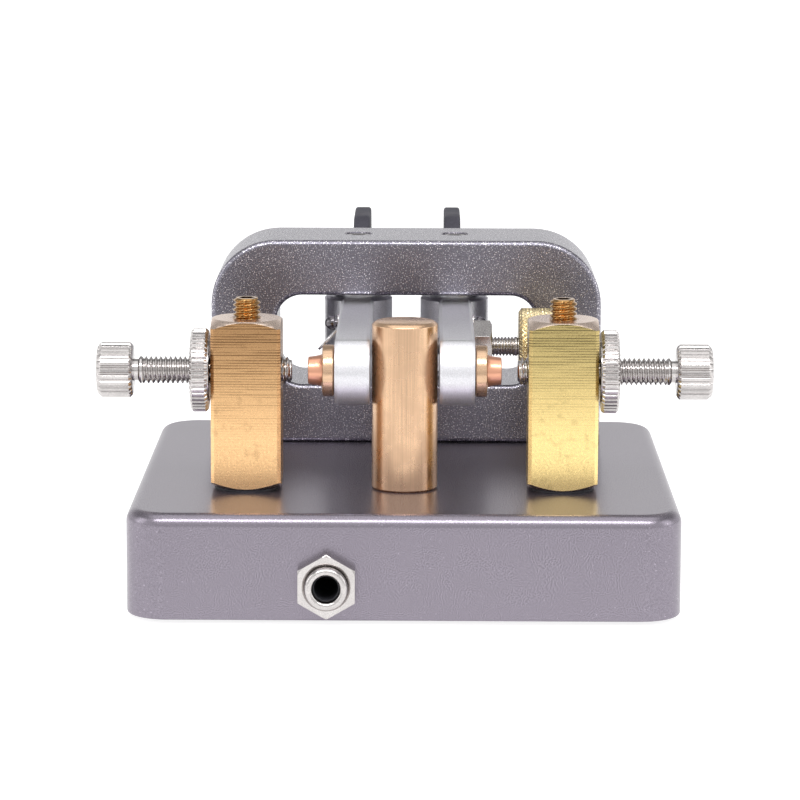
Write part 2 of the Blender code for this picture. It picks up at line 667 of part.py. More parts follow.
def pivot_profile(body):
    """Profile of a pivot from its pin's end: a thin pin, then a body of M4 size."""
    total = PIVOT_PIN_LENGTH + body
    point = PIVOT_PIN_RADIUS / 2
    return [
        (0, 0),
        (0, point),
        (point, PIVOT_PIN_RADIUS),
        (PIVOT_PIN_LENGTH, PIVOT_PIN_RADIUS),
        (PIVOT_PIN_LENGTH, M4_RADIUS),
        (total, M4_RADIUS),
        (total, 0),
    ]


def make_arm(name, side):
    """A lever: beam with a round rear end, pivot hub and front tongue."""
    half = ARM_HEIGHT / 2
    beam_outline = [(PIVOT_Y, half), (POST_ROW_Y, half)]
    for step in range(1, HALF_TURN_STEPS):
        angle = pi / 2 + step * pi / HALF_TURN_STEPS
        beam_outline.append((POST_ROW_Y + half * cos(angle), half * sin(angle)))
    beam_outline += [(POST_ROW_Y, -half), (PIVOT_Y, -half)]
    start = Vector((side * ARM_INNER_X, 0, AXIS_Z))
    outward = X * side
    arm = prism(f"{name}_arm", beam_outline, Y, Z, start, outward, ARM_THICKNESS, "arm_aluminium")
    break_edges(arm, ARM_CHAMFER)

    hub_foot = Vector((side * PIVOT_X, PIVOT_Y, WINDOW_SILL + HUB_CLEARANCE))
    hub_height = WINDOW_HEIGHT - 2 * HUB_CLEARANCE
    join(arm, rod(f"{name}_hub", HUB_RADIUS, hub_foot, Z, hub_height, chamfer=ARM_CHAMFER))
    tongue_rear = PIVOT_Y - TONGUE_ROOT
    tongue_length = TONGUE_FRONT_Y - tongue_rear
    tongue = rounded_rectangle(tongue_length, TONGUE_HEIGHT, TONGUE_CORNER_RADIUS, COARSE_STEPS)
    tongue_start = Vector((side * TONGUE_OUTER_X, (TONGUE_FRONT_Y + tongue_rear) / 2, AXIS_Z))
    join(arm, prism(f"{name}_tongue", tongue, Y, Z, tongue_start, -outward, TONGUE_THICKNESS))

    pocket = BEARING_HEIGHT + BEARING_SINK + SEAT_GAP
    bearing_hole = BEARING_RADIUS + HOLE_CLEARANCE
    hub_top = hub_foot + Z * hub_height
    drill(arm, f"{name}_upper_pocket", bearing_hole, hub_top, -Z, pocket)
    drill(arm, f"{name}_lower_pocket", bearing_hole, hub_foot, Z, pocket)
    bore = PIVOT_PIN_RADIUS + HOLE_CLEARANCE
    for end, foot, direction in (
        ("upper", hub_top - Z * BEARING_SINK, -Z),
        ("lower", hub_foot + Z * BEARING_SINK, Z),
    ):
        washer(
            f"{name}_{end}_bearing", bore, BEARING_RADIUS, foot, direction, BEARING_HEIGHT,
            "bronze", SMALL_SIDES,
        )

    outer = side * ARM_OUTER_X
    stud_depth = DISC_STUD_LENGTH + SEAT_GAP
    contact = (outer, POST_ROW_Y, AXIS_Z)
    drill(arm, f"{name}_stud_hole", DISC_STUD_RADIUS + HOLE_CLEARANCE, contact, -outward, stud_depth)
    rivet = (outer, TAG_Y, TAG_Z)
    drill(arm, f"{name}_rivet_hole", RIVET_RADIUS + HOLE_CLEARANCE, rivet, -outward, RIVET_REACH + SEAT_GAP)
    return arm


def make_contact(name, side):
    """Brass disc on the lever with its copper tip."""
    outward = X * side
    centre = Vector((side * ARM_OUTER_X, POST_ROW_Y, AXIS_Z))
    thickness = DISC_SEAT_TO_FACE - SEAT_GAP
    stud = DISC_STUD_LENGTH + SEAT_GAP
    total = stud + thickness
    profile = [
        (0, 0),
        (0, DISC_STUD_RADIUS),
        (stud, DISC_STUD_RADIUS),
        (stud, DISC_RADIUS - DISC_CHAMFER),
        (stud + DISC_CHAMFER, DISC_RADIUS),
        (total - DISC_CHAMFER, DISC_RADIUS),
        (total, DISC_RADIUS - DISC_CHAMFER),
        (total, 0),
    ]
    turned(f"{name}_contact_disc", profile, centre - outward * DISC_STUD_LENGTH, outward, "bronze")
    tip_foot = centre + outward * (DISC_SEAT_TO_FACE + SEAT_GAP)
    length = TIP_LENGTH - SEAT_GAP
    tip_profile = [(0, 0), (0, TIP_BASE_RADIUS), (length, TIP_FACE_RADIUS), (length, 0)]
    turned(f"{name}_contact_tip", tip_profile, tip_foot, outward, "contact_copper")


def make_tag(name, side):
    """Bent connection tag on the lever's outer face, held by a domed rivet."""
    outward = X * side
    face = Vector((side * (ARM_OUTER_X + SEAT_GAP), TAG_Y - TAG_WIDTH / 2, TAG_Z))
    thick = TAG_THICKNESS
    outline = [
        (0, TAG_FOOT),
        (thick, TAG_FOOT),
        (thick, -TAG_FOOT + thick / 2),
        (thick + TAG_LEAF_OUT, -TAG_FOOT - TAG_LEAF_DOWN + thick),
        (TAG_LEAF_OUT, -TAG_FOOT - TAG_LEAF_DOWN),
        (0, -TAG_FOOT),
    ]
    tag = prism(f"{name}_contact_tag", outline, outward, Z, face, Y, TAG_WIDTH, "nickel")
    centre = Vector((side * ARM_OUTER_X, TAG_Y, TAG_Z))
    drill(tag, f"{name}_tag_hole", RIVET_RADIUS + HOLE_CLEARANCE, centre, outward, 2 * THROUGH)

    neck = RIVET_REACH + 2 * SEAT_GAP + TAG_THICKNESS
    profile = [(0, 0), (0, RIVET_RADIUS), (neck, RIVET_RADIUS), (neck, RIVET_HEAD_RADIUS)]
    straight = RIVET_HEAD_HEIGHT - RIVET_DOME
    for step in range(DOME_STEPS):
        angle = step * pi / 2 / DOME_STEPS
        rise = straight + RIVET_DOME * sin(angle)
        profile.append((neck + rise, RIVET_HEAD_RADIUS * cos(angle)))
    profile.append((neck + RIVET_HEAD_HEIGHT, 0))
    turned(f"{name}_tag_rivet", profile, centre - outward * RIVET_REACH, outward, "steel", SMALL_SIDES)


def make_paddle(name, side, arm):
    """Finger plate on the lever's tongue, with its two screws."""
    outward = X * side
    middle_y = PADDLE_REAR_Y + PADDLE_LENGTH / 2
    start = Vector((side * PADDLE_INNER_X, middle_y, PADDLE_TOP - PADDLE_HEIGHT / 2))
    outline = rounded_rectangle(PADDLE_LENGTH, PADDLE_HEIGHT, PADDLE_CORNER_RADIUS)
    paddle = prism(f"{name}_paddle", outline, Y, Z, start, outward, PADDLE_THICKNESS, "paddle_black")
    break_edges(paddle, PADDLE_EDGE)
    shank = M2_5_RADIUS + HOLE_CLEARANCE
    head_x = PADDLE_INNER_X + PADDLE_THICKNESS + SEAT_GAP
    reach = head_x - TONGUE_OUTER_X + TONGUE_THICKNESS
    for number in (1, 2):
        y = PADDLE_REAR_Y + PADDLE_SCREW_INSET + (number - 1) * PADDLE_SCREW_SPACING
        seat = Vector((side * head_x, y, AXIS_Z))
        drill(paddle, f"{name}_paddle_hole_{number}", shank, seat, -outward, reach)
        drill(arm, f"{name}_tongue_hole_{number}", shank, seat, -outward, reach + THROUGH)
        profile = [
            (0, 0),
            (0, M2_5_RADIUS),
            (reach, M2_5_RADIUS),
            (reach, PADDLE_SCREW_HEAD_RADIUS),
            (reach + PADDLE_SCREW_HEAD, PADDLE_SCREW_HEAD_RADIUS),
            (reach + PADDLE_SCREW_HEAD, 0),
        ]
        foot = seat - outward * reach
        turned(f"{name}_paddle_screw_{number}", profile, foot, outward, "nickel", SMALL_SIDES)


def make_tension(left_arm, right_arm):
    """Adjusting screw with its nut and knob on the right lever, spring and anchor pin."""
    line = Vector((0, TENSION_Y, AXIS_Z))
    bore = M3_RADIUS + HOLE_CLEARANCE
    drill(right_arm, "tension_arm_hole", bore, line + X * ARM_OUTER_X, -X, ARM_THICKNESS + THROUGH)

    nut_start = line + X * (ARM_OUTER_X + SEAT_GAP)
    outline = regular(HEX_SIDES, TENSION_NUT_FLATS, turn=pi / 2)
    nut = prism("tension_lock_nut", outline, Y, Z, nut_start, X, TENSION_NUT_LENGTH, "nickel")
    drill(nut, "tension_nut_hole", bore, nut_start, X, TENSION_NUT_LENGTH + THROUGH)

    tip = line + X * TENSION_SCREW_TIP_X
    length = TENSION_KNOB_X - TENSION_SCREW_TIP_X + TENSION_SPIGOT
    rod("tension_screw", M3_RADIUS, tip, X, length, "nickel", SMALL_SIDES)
    bottom = TENSION_SPIGOT + SEAT_GAP
    edge = TENSION_KNOB_RADIUS - KNOB_CHAMFER
    knob_profile = [
        (bottom, 0),
        (bottom, bore),
        (0, bore),
        (0, edge),
        (KNOB_CHAMFER, TENSION_KNOB_RADIUS),
        (TENSION_KNOB_LENGTH - KNOB_CHAMFER, TENSION_KNOB_RADIUS),
        (TENSION_KNOB_LENGTH, edge),
        (TENSION_KNOB_LENGTH, 0),
    ]
    turned("tension_knob", knob_profile, line + X * TENSION_KNOB_X, X, "post_brass")

    pin_start = Vector((-ANCHOR_PIN_X, TENSION_Y, AXIS_Z - ARM_HEIGHT / 2 + SEAT_GAP))
    pin_length = ARM_HEIGHT / 2 - SEAT_GAP + ANCHOR_PIN_RISE
    rod("spring_anchor_pin", ANCHOR_PIN_RADIUS, pin_start, Z, pin_length, "steel", SMALL_SIDES)
    pin_hole = ANCHOR_PIN_RADIUS + HOLE_CLEARANCE
    drill(left_arm, "anchor_hole", pin_hole, pin_start, Z, pin_length + SEAT_GAP)
    spring_hole = SPRING_RADIUS + HOLE_CLEARANCE
    drill(left_arm, "spring_hole", spring_hole, line - X * ARM_INNER_X, -X, ANCHOR_HOLE_DEPTH)

    spring_end = TENSION_SCREW_TIP_X - SEAT_GAP
    spring_length = spring_end + ANCHOR_PIN_X - SPRING_HOOK
    washer(
        "tension_spring", SPRING_RADIUS - SPRING_WIRE, SPRING_RADIUS, line + X * spring_end, -X,
        spring_length, "steel", SMALL_SIDES,
    )


def make_jack():
    """Panel socket: threaded sleeve with its bore, body with three tabs, and hex nut."""
    mouth_y = BASE_NEAR_Y - SEAT_GAP - JACK_NUT_LENGTH - JACK_SLEEVE_PROUD
    mouth = Vector((JACK_X, mouth_y, JACK_Z))
    shoulder = CAVITY_NEAR_Y + SEAT_GAP - mouth_y
    total = shoulder + JACK_BODY_LENGTH
    profile = [
        (JACK_BORE_DEPTH, 0),
        (JACK_BORE_DEPTH, JACK_BORE_RADIUS),
        (0, JACK_BORE_RADIUS),
        (0, JACK_SLEEVE_RADIUS),
        (shoulder, JACK_SLEEVE_RADIUS),
        (shoulder, JACK_BODY_RADIUS),
        (total, JACK_BODY_RADIUS),
        (total, 0),
    ]
    jack = turned("jack_body", profile, mouth, Y, "nickel")
    half_width = JACK_TAB_WIDTH / 2
    half_thick = JACK_TAB_THICKNESS / 2
    outline = [
        (-half_width, -half_thick), (half_width, -half_thick),
        (half_width, half_thick), (-half_width, half_thick),
    ]
    for place in (-1, 0, 1):
        start = mouth + X * place * JACK_TAB_SPACING + Y * (total - THROUGH)
        tab = prism(f"jack_tab_{place + 2}", outline, X, Z, start, Y, JACK_TAB_LENGTH + THROUGH)
        join(jack, tab)

    nut_start = Vector((JACK_X, BASE_NEAR_Y - SEAT_GAP - JACK_NUT_LENGTH, JACK_Z))
    nut_outline = regular(HEX_SIDES, JACK_NUT_FLATS, turn=pi / 2)
    nut = prism("jack_nut", nut_outline, X, Z, nut_start, Y, JACK_NUT_LENGTH, "nickel")
    bore = JACK_SLEEVE_RADIUS + HOLE_CLEARANCE
    drill(nut, "jack_nut_hole", bore, nut_start, Y, JACK_NUT_LENGTH + THROUGH)
    return mouth + Y * (total + JACK_TAB_LENGTH + SEAT_GAP)


def smooth_route(points):
    """Points along a smooth curve through the given ones (Catmull-Rom)."""
    padded = [points[0] * 2 - points[1], *points, points[-1] * 2 - points[-2]]
    route = []
    for i in range(1, len(padded) - 2):
        a, b, c, d = padded[i - 1 : i + 3]
        for step in range(WIRE_STEPS):
            t = step / WIRE_STEPS
            route.append(
                0.5 * (2 * b + (c - a) * t + (2 * a - 5 * b + 4 * c - d) * t**2
                       + (3 * b - a - 3 * c + d) * t**3)
            )
    route.append(points[-1])
    return route


def wire(name, points, material):
    """A thin insulated wire along a smooth route."""
    curve = bpy.data.curves.new(name, "CURVE")
    curve.dimensions = "3D"
    curve.bevel_depth = WIRE_RADIUS
    curve.bevel_resolution = 2
    curve.use_fill_caps = True
    route = smooth_route(points)
    spline = curve.splines.new("POLY")
    spline.points.add(len(route) - 1)
    for point, place in zip(spline.points, route):
        point.co = (*place, 1.0)
    curve.materials.append(finish(material))
    obj = bpy.data.objects.new(name, curve)
    bpy.context.scene.collection.objects.link(obj)


def make_wires(tabs):
    """Three wires from the posts' lugs to the socket's tabs, inside the cavity."""
    roof = CAVITY_ROOF - SEAT_GAP
    drop = LUG_THICKNESS + SEAT_GAP + WIRE_RADIUS
    outer_z = roof - BUSH_FLANGE - SEAT_GAP - drop
    centre_z = roof - drop
    tail_y = POST_ROW_Y + LUG_TAIL_LENGTH - THROUGH
    bend_y = tail_y + WIRE_BEND
    far_y = bend_y + WIRE_SPREAD
    low_z = JACK_Z - WIRE_DIP
    left_tab = tabs - X * JACK_TAB_SPACING
    right_tab = tabs + X * JACK_TAB_SPACING
    wire("left_wire", [
        Vector((-POST_X, tail_y, outer_z)),
        Vector((-POST_X + WIRE_BEND, bend_y, outer_z - WIRE_DIP)),
        Vector((left_tab.x, bend_y, JACK_Z)),
        left_tab,
    ], "wire_red")
    wire("right_wire", [
        Vector((POST_X, tail_y, outer_z)),
        Vector((POST_X - 2 * WIRE_BEND, far_y, low_z)),
        Vector((0, far_y, low_z)),
        Vector((right_tab.x, bend_y, low_z)),
        right_tab,
    ], "wire_white")
    wire("ground_wire", [
        Vector((0, tail_y, centre_z)),
        Vector((tabs.x / 2, bend_y, centre_z - WIRE_DIP)),
        Vector((tabs.x, bend_y - WIRE_DIP, JACK_Z + WIRE_DIP)),
        tabs,
    ], "wire_black")


def main():
    """Build the key from the base up."""
    clear_scene()
    make_base()
    make_pad()
    make_post_fixings()
    make_centre_post()
    make_frame()
    arms = {}
    for name, side in SIDES.items():
        make_outer_post(name, side)
        make_contact_screw(name, side)
        arms[name] = make_arm(name, side)
        make_contact(name, side)
        make_tag(name, side)
        make_paddle(name, side, arms[name])
    make_tension(arms["left"], arms["right"])
    make_wires(make_jack())


main()
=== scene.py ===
"""Looks of a twin-lever morse key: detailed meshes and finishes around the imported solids.

Lengths are in metres, in the frame's own axes: +Z is up, +Y points to the finger paddles and
-Y to the cable socket. Every piece takes its place from the frame's boxes.
"""

import logging
import math
from collections.abc import Callable, Iterable, Sequence
from dataclasses import dataclass, field
from enum import Enum

import bmesh
import bpy
import numpy as np
from mathutils import Matrix, Vector


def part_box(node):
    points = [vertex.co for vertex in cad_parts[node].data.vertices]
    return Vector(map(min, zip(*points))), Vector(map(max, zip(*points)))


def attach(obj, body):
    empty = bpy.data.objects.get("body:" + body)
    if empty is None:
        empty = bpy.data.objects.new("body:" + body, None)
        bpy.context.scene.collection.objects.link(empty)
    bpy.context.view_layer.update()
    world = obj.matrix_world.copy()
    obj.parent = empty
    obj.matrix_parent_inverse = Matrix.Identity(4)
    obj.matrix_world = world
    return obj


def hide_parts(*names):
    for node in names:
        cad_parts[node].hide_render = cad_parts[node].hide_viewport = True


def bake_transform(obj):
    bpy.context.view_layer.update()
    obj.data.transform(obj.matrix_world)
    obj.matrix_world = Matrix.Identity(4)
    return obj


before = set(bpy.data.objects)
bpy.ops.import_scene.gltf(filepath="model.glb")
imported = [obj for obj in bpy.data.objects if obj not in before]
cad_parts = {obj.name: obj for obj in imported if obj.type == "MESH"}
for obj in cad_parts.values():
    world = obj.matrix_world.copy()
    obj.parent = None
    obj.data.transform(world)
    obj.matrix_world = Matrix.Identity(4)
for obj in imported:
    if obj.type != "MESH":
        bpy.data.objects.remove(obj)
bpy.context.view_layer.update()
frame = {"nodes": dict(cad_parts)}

LOG = logging.getLogger("morse_key")
MM = 0.001
TURN = 2 * math.pi
WELD = 1e-7
SMOOTH_ANGLE = math.radians(32)

SEAT = 0.02 * MM  # left between faces that rest on one another
M4_PITCH = 0.7 * MM
M4_RADIUS = 1.97 * MM
M4_BORE = 2.05 * MM
HEXAGON_KEY = 2.0 * MM
THREAD_ROWS = 0.07 * MM

Triple = tuple[float, float, float]
Relief = Callable[[np.ndarray, np.ndarray], np.ndarray]
Rows = list[tuple[np.ndarray, float]]


class Side(Enum):
    """The two mirrored halves of the key, as the sign of their X."""

    LEFT = -1
    RIGHT = 1

    @property
    def word(self) -> str:
        """The side's name as the nodes and bodies spell it."""
        return self.name.lower()


@dataclass(frozen=True)
class Station:
    """A local frame that a shape is laid out in.

    Heights run along `along` from `point`, and angles start at `start`.
    """

    point: Triple
    along: Triple
    start: Triple

    def place(self, local: np.ndarray) -> np.ndarray:
        """Frame coordinates of local ones: point + u start + v (along x start) + h along."""
        axes = np.array([self.start, np.cross(self.along, self.start), self.along])
        return np.array(self.point) + local @ axes


@dataclass(frozen=True)
class Box:
    """Lowest and highest corners of a CAD node, in metres."""

    low: np.ndarray
    high: np.ndarray

    @classmethod
    def of(cls, node: str) -> "Box":
        """The box of the node with that name."""
        low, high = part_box(node)
        return cls(np.array(low), np.array(high))

    @property
    def middle(self) -> np.ndarray:
        """The point halfway between the corners."""
        return (self.low + self.high) / 2

    @property
    def size(self) -> np.ndarray:
        """Lengths of the three sides."""
        return self.high - self.low

    def inner(self, side: Side) -> float:
        """The X nearest the key's middle plane, on that side."""
        return float(self.low[0] if side is Side.RIGHT else self.high[0])

    def outer(self, side: Side) -> float:
        """The X furthest from the key's middle plane, on that side."""
        return float(self.high[0] if side is Side.RIGHT else self.low[0])

    def line(self, side: Side) -> Station:
        """The box's middle line, from its inner end outwards."""
        return outward(side, self.inner(side), self.middle[1], self.middle[2])


# ---------------------------------------------------------------- shapes


def smooth_step(value: np.ndarray) -> np.ndarray:
    """Zero below 0, one above 1 and 3t^2 - 2t^3 between."""
    t = np.clip(value, 0.0, 1.0)
    return t * t * (3 - 2 * t)


def solid(name: str, rings: np.ndarray, loop: bool = False) -> bpy.types.Object:
    """A closed mesh through a stack of rings.

    Quads join each ring's points to those of the next ring. The last ring joins the first in a
    loop, and otherwise a flat cap closes each end.

    Args:
        name: The object's name.
        rings: Points as (ring, point on the ring, xyz).
        loop: Whether the stack bends back on itself, as a frame round a window does.

    Returns:
        The new object, at the origin.
    """
    count, sides = rings.shape[:2]
    first = np.arange(count if loop else count - 1)
    here = first[:, None] * sides + np.arange(sides)
    there = ((first + 1) % count)[:, None] * sides + np.arange(sides)
    quads = np.stack([here, np.roll(here, -1, 1), np.roll(there, -1, 1), there], -1)
    faces = quads.reshape(-1, 4).tolist()
    if not loop:
        faces.append(np.arange(sides)[::-1].tolist())
        faces.append(np.arange((count - 1) * sides, count * sides).tolist())
    mesh = bpy.data.meshes.new(name)
    mesh.from_pydata(rings.reshape(-1, 3), [], faces)
    work = bmesh.new()
    work.from_mesh(mesh)
    bmesh.ops.remove_doubles(work, verts=work.verts, dist=WELD)
    bmesh.ops.recalc_face_normals(work, faces=work.faces)
    work.to_mesh(mesh)
    work.free()
    made = bpy.data.objects.new(name, mesh)
    bpy.context.scene.collection.objects.link(made)
    return made


def turned(
    name: str,
    station: Station,
    profile: Iterable[Sequence[float]],
    sides: int,
    relief: Relief | None = None,
    loop: bool = False,
    fade: float = 4.0,
) -> bpy.types.Object:
    """A profile turned about a station's axis.

    A point at height h and angle a stands at the profile's radius less the relief there, along
    (cos a, sin a). The relief fades out towards the axis, so that end faces stay flat.

    Args:
        name: The object's name.
        station: Where the axis starts and runs.
        profile: (height, radius) pairs from one end to the other.
        sides: Points round the axis.
        relief: Depth of the cut pattern, from height and angle.
        loop: Whether the profile closes on itself, as it does round a bore.
        fade: The relief runs out over the outermost 1/fade of the radius.

    Returns:
        The closed piece.
    """
    heights, radii = np.array(list(profile), float).T
    angles = np.arange(sides) * TURN / sides
    height = np.repeat(heights[:, None], sides, axis=1)
    radius = np.repeat(radii[:, None], sides, axis=1)
    if relief is not None:
        rim = np.clip(radius / radii.max() * fade - (fade - 1), 0.0, 1.0)
        radius = radius - relief(height, angles[None, :]) * rim
    local = np.stack([radius * np.cos(angles), radius * np.sin(angles), height], -1)
    return solid(name, station.place(local), loop)


def arc(centre: Sequence[float], radius: float, start: float, stop: float, steps: int) -> np.ndarray:
    """Points of an arc: centre plus radius times (cos, sin), between two angles in degrees."""
    angles = np.radians(np.linspace(start, stop, steps + 1))
    return np.array(centre) + radius * np.stack([np.cos(angles), np.sin(angles)], -1)


def fillet(size: float, steps: int) -> np.ndarray:
    """(inset, rise) pairs of a quarter round that leaves a flat face and meets its side."""
    angles = np.radians(np.linspace(0, 90, steps + 1))
    return size * np.stack([1 - np.sin(angles), 1 - np.cos(angles)], -1)


def rounded_outline(
    width: float, height: float, radii: Sequence[float], steps: int, inset: float = 0.0
) -> np.ndarray:
    """Outline of a rectangle about the origin with four corner radii.

    Each corner is a quarter circle about the point one radius in from both of its sides. An
    inset moves the sides in and shrinks the radii with them.

    Args:
        width: Length across, before the inset.
        height: Length up, before the inset.
        radii: Corner radii, from the corner at +,+ on counter-clockwise.
        steps: Arc steps at each corner.
        inset: How far the outline is drawn in; negative draws it out.

    Returns:
        Points as (4 (steps + 1), 2).
    """
    corners = np.array([[1, 1], [-1, 1], [-1, -1], [1, -1]])
    radius = np.maximum(np.array(radii) - inset, WELD * 10)[:, None]
    centres = corners * (np.array([width, height]) / 2 - inset - radius)
    turn = np.arange(4)[:, None] * 90 + np.linspace(0, 90, steps + 1)
    angles = np.radians(turn)
    circle = np.stack([np.cos(angles), np.sin(angles)], -1)
    return (centres[:, None] + radius[:, None] * circle).reshape(-1, 2)


def stacked(rows: Rows) -> np.ndarray:
    """Local points of outlines at the heights given with them, as (row, point, uvh)."""
    return np.array([np.column_stack([line, np.full(len(line), height)]) for line, height in rows])


def slab(outline: Callable[[float], np.ndarray], thick: float, edge: Sequence[Sequence[float]]) -> Rows:
    """Rows of a flat piece whose outline is drawn in along the same edge curve at both faces.

    Args:
        outline: The outline for an inset.
        thick: From face to face.
        edge: (inset, rise) pairs from the first face to its side.

    Returns:
        (outline, height) rows from the first face to the second.
    """
    near = [(outline(inset), rise) for inset, rise in edge]
    return near + [(outline(inset), thick - rise) for inset, rise in edge[::-1]]


def lofted(name: str, station: Station, rows: Rows) -> bpy.types.Object:
    """A solid whose section at each given height is the outline given with it."""
    return solid(name, station.place(stacked(rows)))


def polygon_outline(sides: int, flats: float, steps: int, turn: float = 0.0) -> np.ndarray:
    """Points along a regular polygon: at angle a its radius is the half width over cos(a to the flat).

    Args:
        sides: Number of flats.
        flats: Width over opposite flats.
        steps: Points along each flat.
        turn: Angle of the first flat's middle, in degrees.

    Returns:
        Points as (sides steps, 2).
    """
    wedge = TURN / sides
    within = np.linspace(-wedge / 2, wedge / 2, steps, endpoint=False)
    middles = np.arange(sides) * wedge + math.radians(turn)
    angles = middles[:, None] + within
    radius = np.broadcast_to(flats / 2 / np.cos(within), angles.shape)
    return np.stack([radius * np.cos(angles), radius * np.sin(angles)], -1).reshape(-1, 2)


def crowned_bar(
    name: str,
    station: Station,
    outline: np.ndarray,
    length: float,
    rims: tuple[float, float],
    slope: float,
) -> bpy.types.Object:
    """A bar of any outline whose end edges are turned down to a cone, as on a nut.

    At each outline point of radius r the cone of rim radius a meets the side at the height
    (r - a) slope from the end face, which gives each flat its arched edge.

    Args:
        name: The object's name.
        station: The bar's first end and direction.
        outline: The section, as (points, 2).
        length: From end to end.
        rims: Radius of the flat round face at the first and the second end.
        slope: Rise of the cone for each unit of radius.

    Returns:
        The closed piece.
    """
    radius = np.linalg.norm(outline, axis=1)
    faces = [outline * np.minimum(1, rim / radius)[:, None] for rim in rims]
    drops = [np.maximum(0, radius - rim) * slope for rim in rims]
    rings = [
        np.column_stack([faces[0], np.zeros_like(radius)]),
        np.column_stack([outline, drops[0]]),
        np.column_stack([outline, length - drops[1]]),
        np.column_stack([faces[1], np.full_like(radius, length)]),
    ]
    return solid(name, station.place(np.array(rings)))


def thread_relief(pitch: float, depth: float, start: float, stop: float) -> Relief:
    """A right-hand V thread: depth times a clipped triangle wave of height/pitch - angle/turn.

    Args:
        pitch: Rise of one turn.
        depth: From crest to root.
        start: Where the groove begins to fade in, over one pitch.
        stop: Where it has faded out, over one pitch.

    Returns:
        The groove's depth as a function of height and angle.
    """

    def relief(height: np.ndarray, angle: np.ndarray) -> np.ndarray:
        """Depth of the groove at a height and an angle."""
        phase = (height / pitch - angle / TURN) % 1.0
        groove = np.clip(1.25 - np.abs(phase - 0.5) * 2.9, 0.0, 1.0)
        ends = smooth_step((height - start) / pitch) * smooth_step((stop - height) / pitch)
        return depth * groove * ends

    return relief


def rib_relief(count: int, depth: float) -> Relief:
    """Straight ribs: depth times a groove where cos(count angle) is high, with crowned tops.

    Args:
        count: Ribs round the rim.
        depth: From a rib's top to the groove's floor.

    Returns:
        The groove's depth as a function of height and angle.
    """

    def relief(height: np.ndarray, angle: np.ndarray) -> np.ndarray:
        """Depth of the groove at an angle."""
        wave = np.clip((np.cos(count * angle) - 0.15) * 1.9, 0.0, 1.0)
        crown = 0.12 * (1 - np.cos(count * angle)) * 0.5
        return depth * (wave - crown + 0.12) + 0.0 * height

    return relief


def diamond_relief(count: int, depth: float, pitch: float) -> Relief:
    """Crossed knurls: depth times the deeper of two triangle waves that wind opposite ways.

    Args:
        count: Grooves of each hand round the rim.
        depth: From a diamond's top to the groove's floor.
        pitch: Height in which a groove moves on by one place.

    Returns:
        The grooves' depth as a function of height and angle.
    """

    def relief(height: np.ndarray, angle: np.ndarray) -> np.ndarray:
        """Depth of the crossed grooves at a height and an angle."""
        around = angle / TURN * count
        one = np.abs((around + height / pitch) % 1.0 - 0.5) * 2
        other = np.abs((around - height / pitch) % 1.0 - 0.5) * 2
        return depth * np.clip(np.maximum(one, other) * 1.6 - 0.6, 0.0, 1.0)

    return relief


def even_rows(profile: Iterable[Sequence[float]], spacing: float) -> np.ndarray:
    """A profile with rows added along its straight sides.

    Args:
        profile: (height, radius) pairs.
        spacing: The longest step in height that is left.

    Returns:
        The denser profile, as (rows, 2).
    """
    points = np.array(list(profile), float)
    parts = [
        np.linspace(a, b, max(1, math.ceil(abs(b[0] - a[0]) / spacing)), endpoint=False)
        for a, b in zip(points, points[1:])
    ]
    return np.concatenate([*parts, points[-1:]])


def combined(
    piece: bpy.types.Object, others: Iterable[bpy.types.Object], operation: str = "DIFFERENCE"
) -> bpy.types.Object:
    """Cut other shapes away from a piece, or join them to it, and remove them.

    Args:
        piece: The piece that is kept.
        others: Closed shapes that cut it or are joined to it.
        operation: A Boolean operation's name.

    Returns:
        The same piece, with the result as its mesh.
    """
    others = list(others)
    for other in others:
        step = piece.modifiers.new(other.name, "BOOLEAN")
        step.operation = operation
        step.object = other
        step.solver = "EXACT"
    settle(piece)
    for other in others:
        bpy.data.objects.remove(other)
    return piece


def settle(piece: bpy.types.Object) -> None:
    """Turn a piece's modifiers into its mesh."""
    graph = bpy.context.evaluated_depsgraph_get()
    mesh = bpy.data.meshes.new_from_object(piece.evaluated_get(graph))
    piece.modifiers.clear()
    piece.data = mesh


def break_edges(piece: bpy.types.Object, width: float, angle: float, segments: int = 2) -> None:
    """Round the sharp edges of a piece.

    Args:
        piece: The piece, whose mesh is replaced.
        width: How wide the rounding is.
        angle: Edges that turn by more than this, in degrees, are rounded.
        segments: Steps across the rounding.
    """
    step = piece.modifiers.new("edges", "BEVEL")
    step.width = width
    step.segments = segments
    step.limit_method = "ANGLE"
    step.angle_limit = math.radians(angle)
    settle(piece)


def hole(station: Station, radius: float, depth: float, sink: float = 0.0) -> bpy.types.Object:
    """A cutter for a round hole.

    Args:
        station: The hole's mouth, with heights running into the piece.
        radius: The hole's radius.
        depth: How deep it goes.
        sink: How much wider its mouth is, and how deep that countersink goes.

    Returns:
        The cutter, which starts a little outside the mouth.
    """
    before = 0.5 * MM
    profile = [
        (-before, 0),
        (-before, radius + sink + (before if sink else 0)),
        (sink, radius),
        (depth, radius),
        (depth, 0),
    ]
    return turned("hole", station, profile, sides=40)


def hex_hole(station: Station, flats: float, depth: float) -> bpy.types.Object:
    """A cutter for a hexagon socket that starts a little outside the station."""
    outline = polygon_outline(6, flats, steps=1, turn=30)
    return lofted("hex_hole", station, [(outline, -0.3 * MM), (outline, depth)])


# -------------------------------------------------------------- finishes


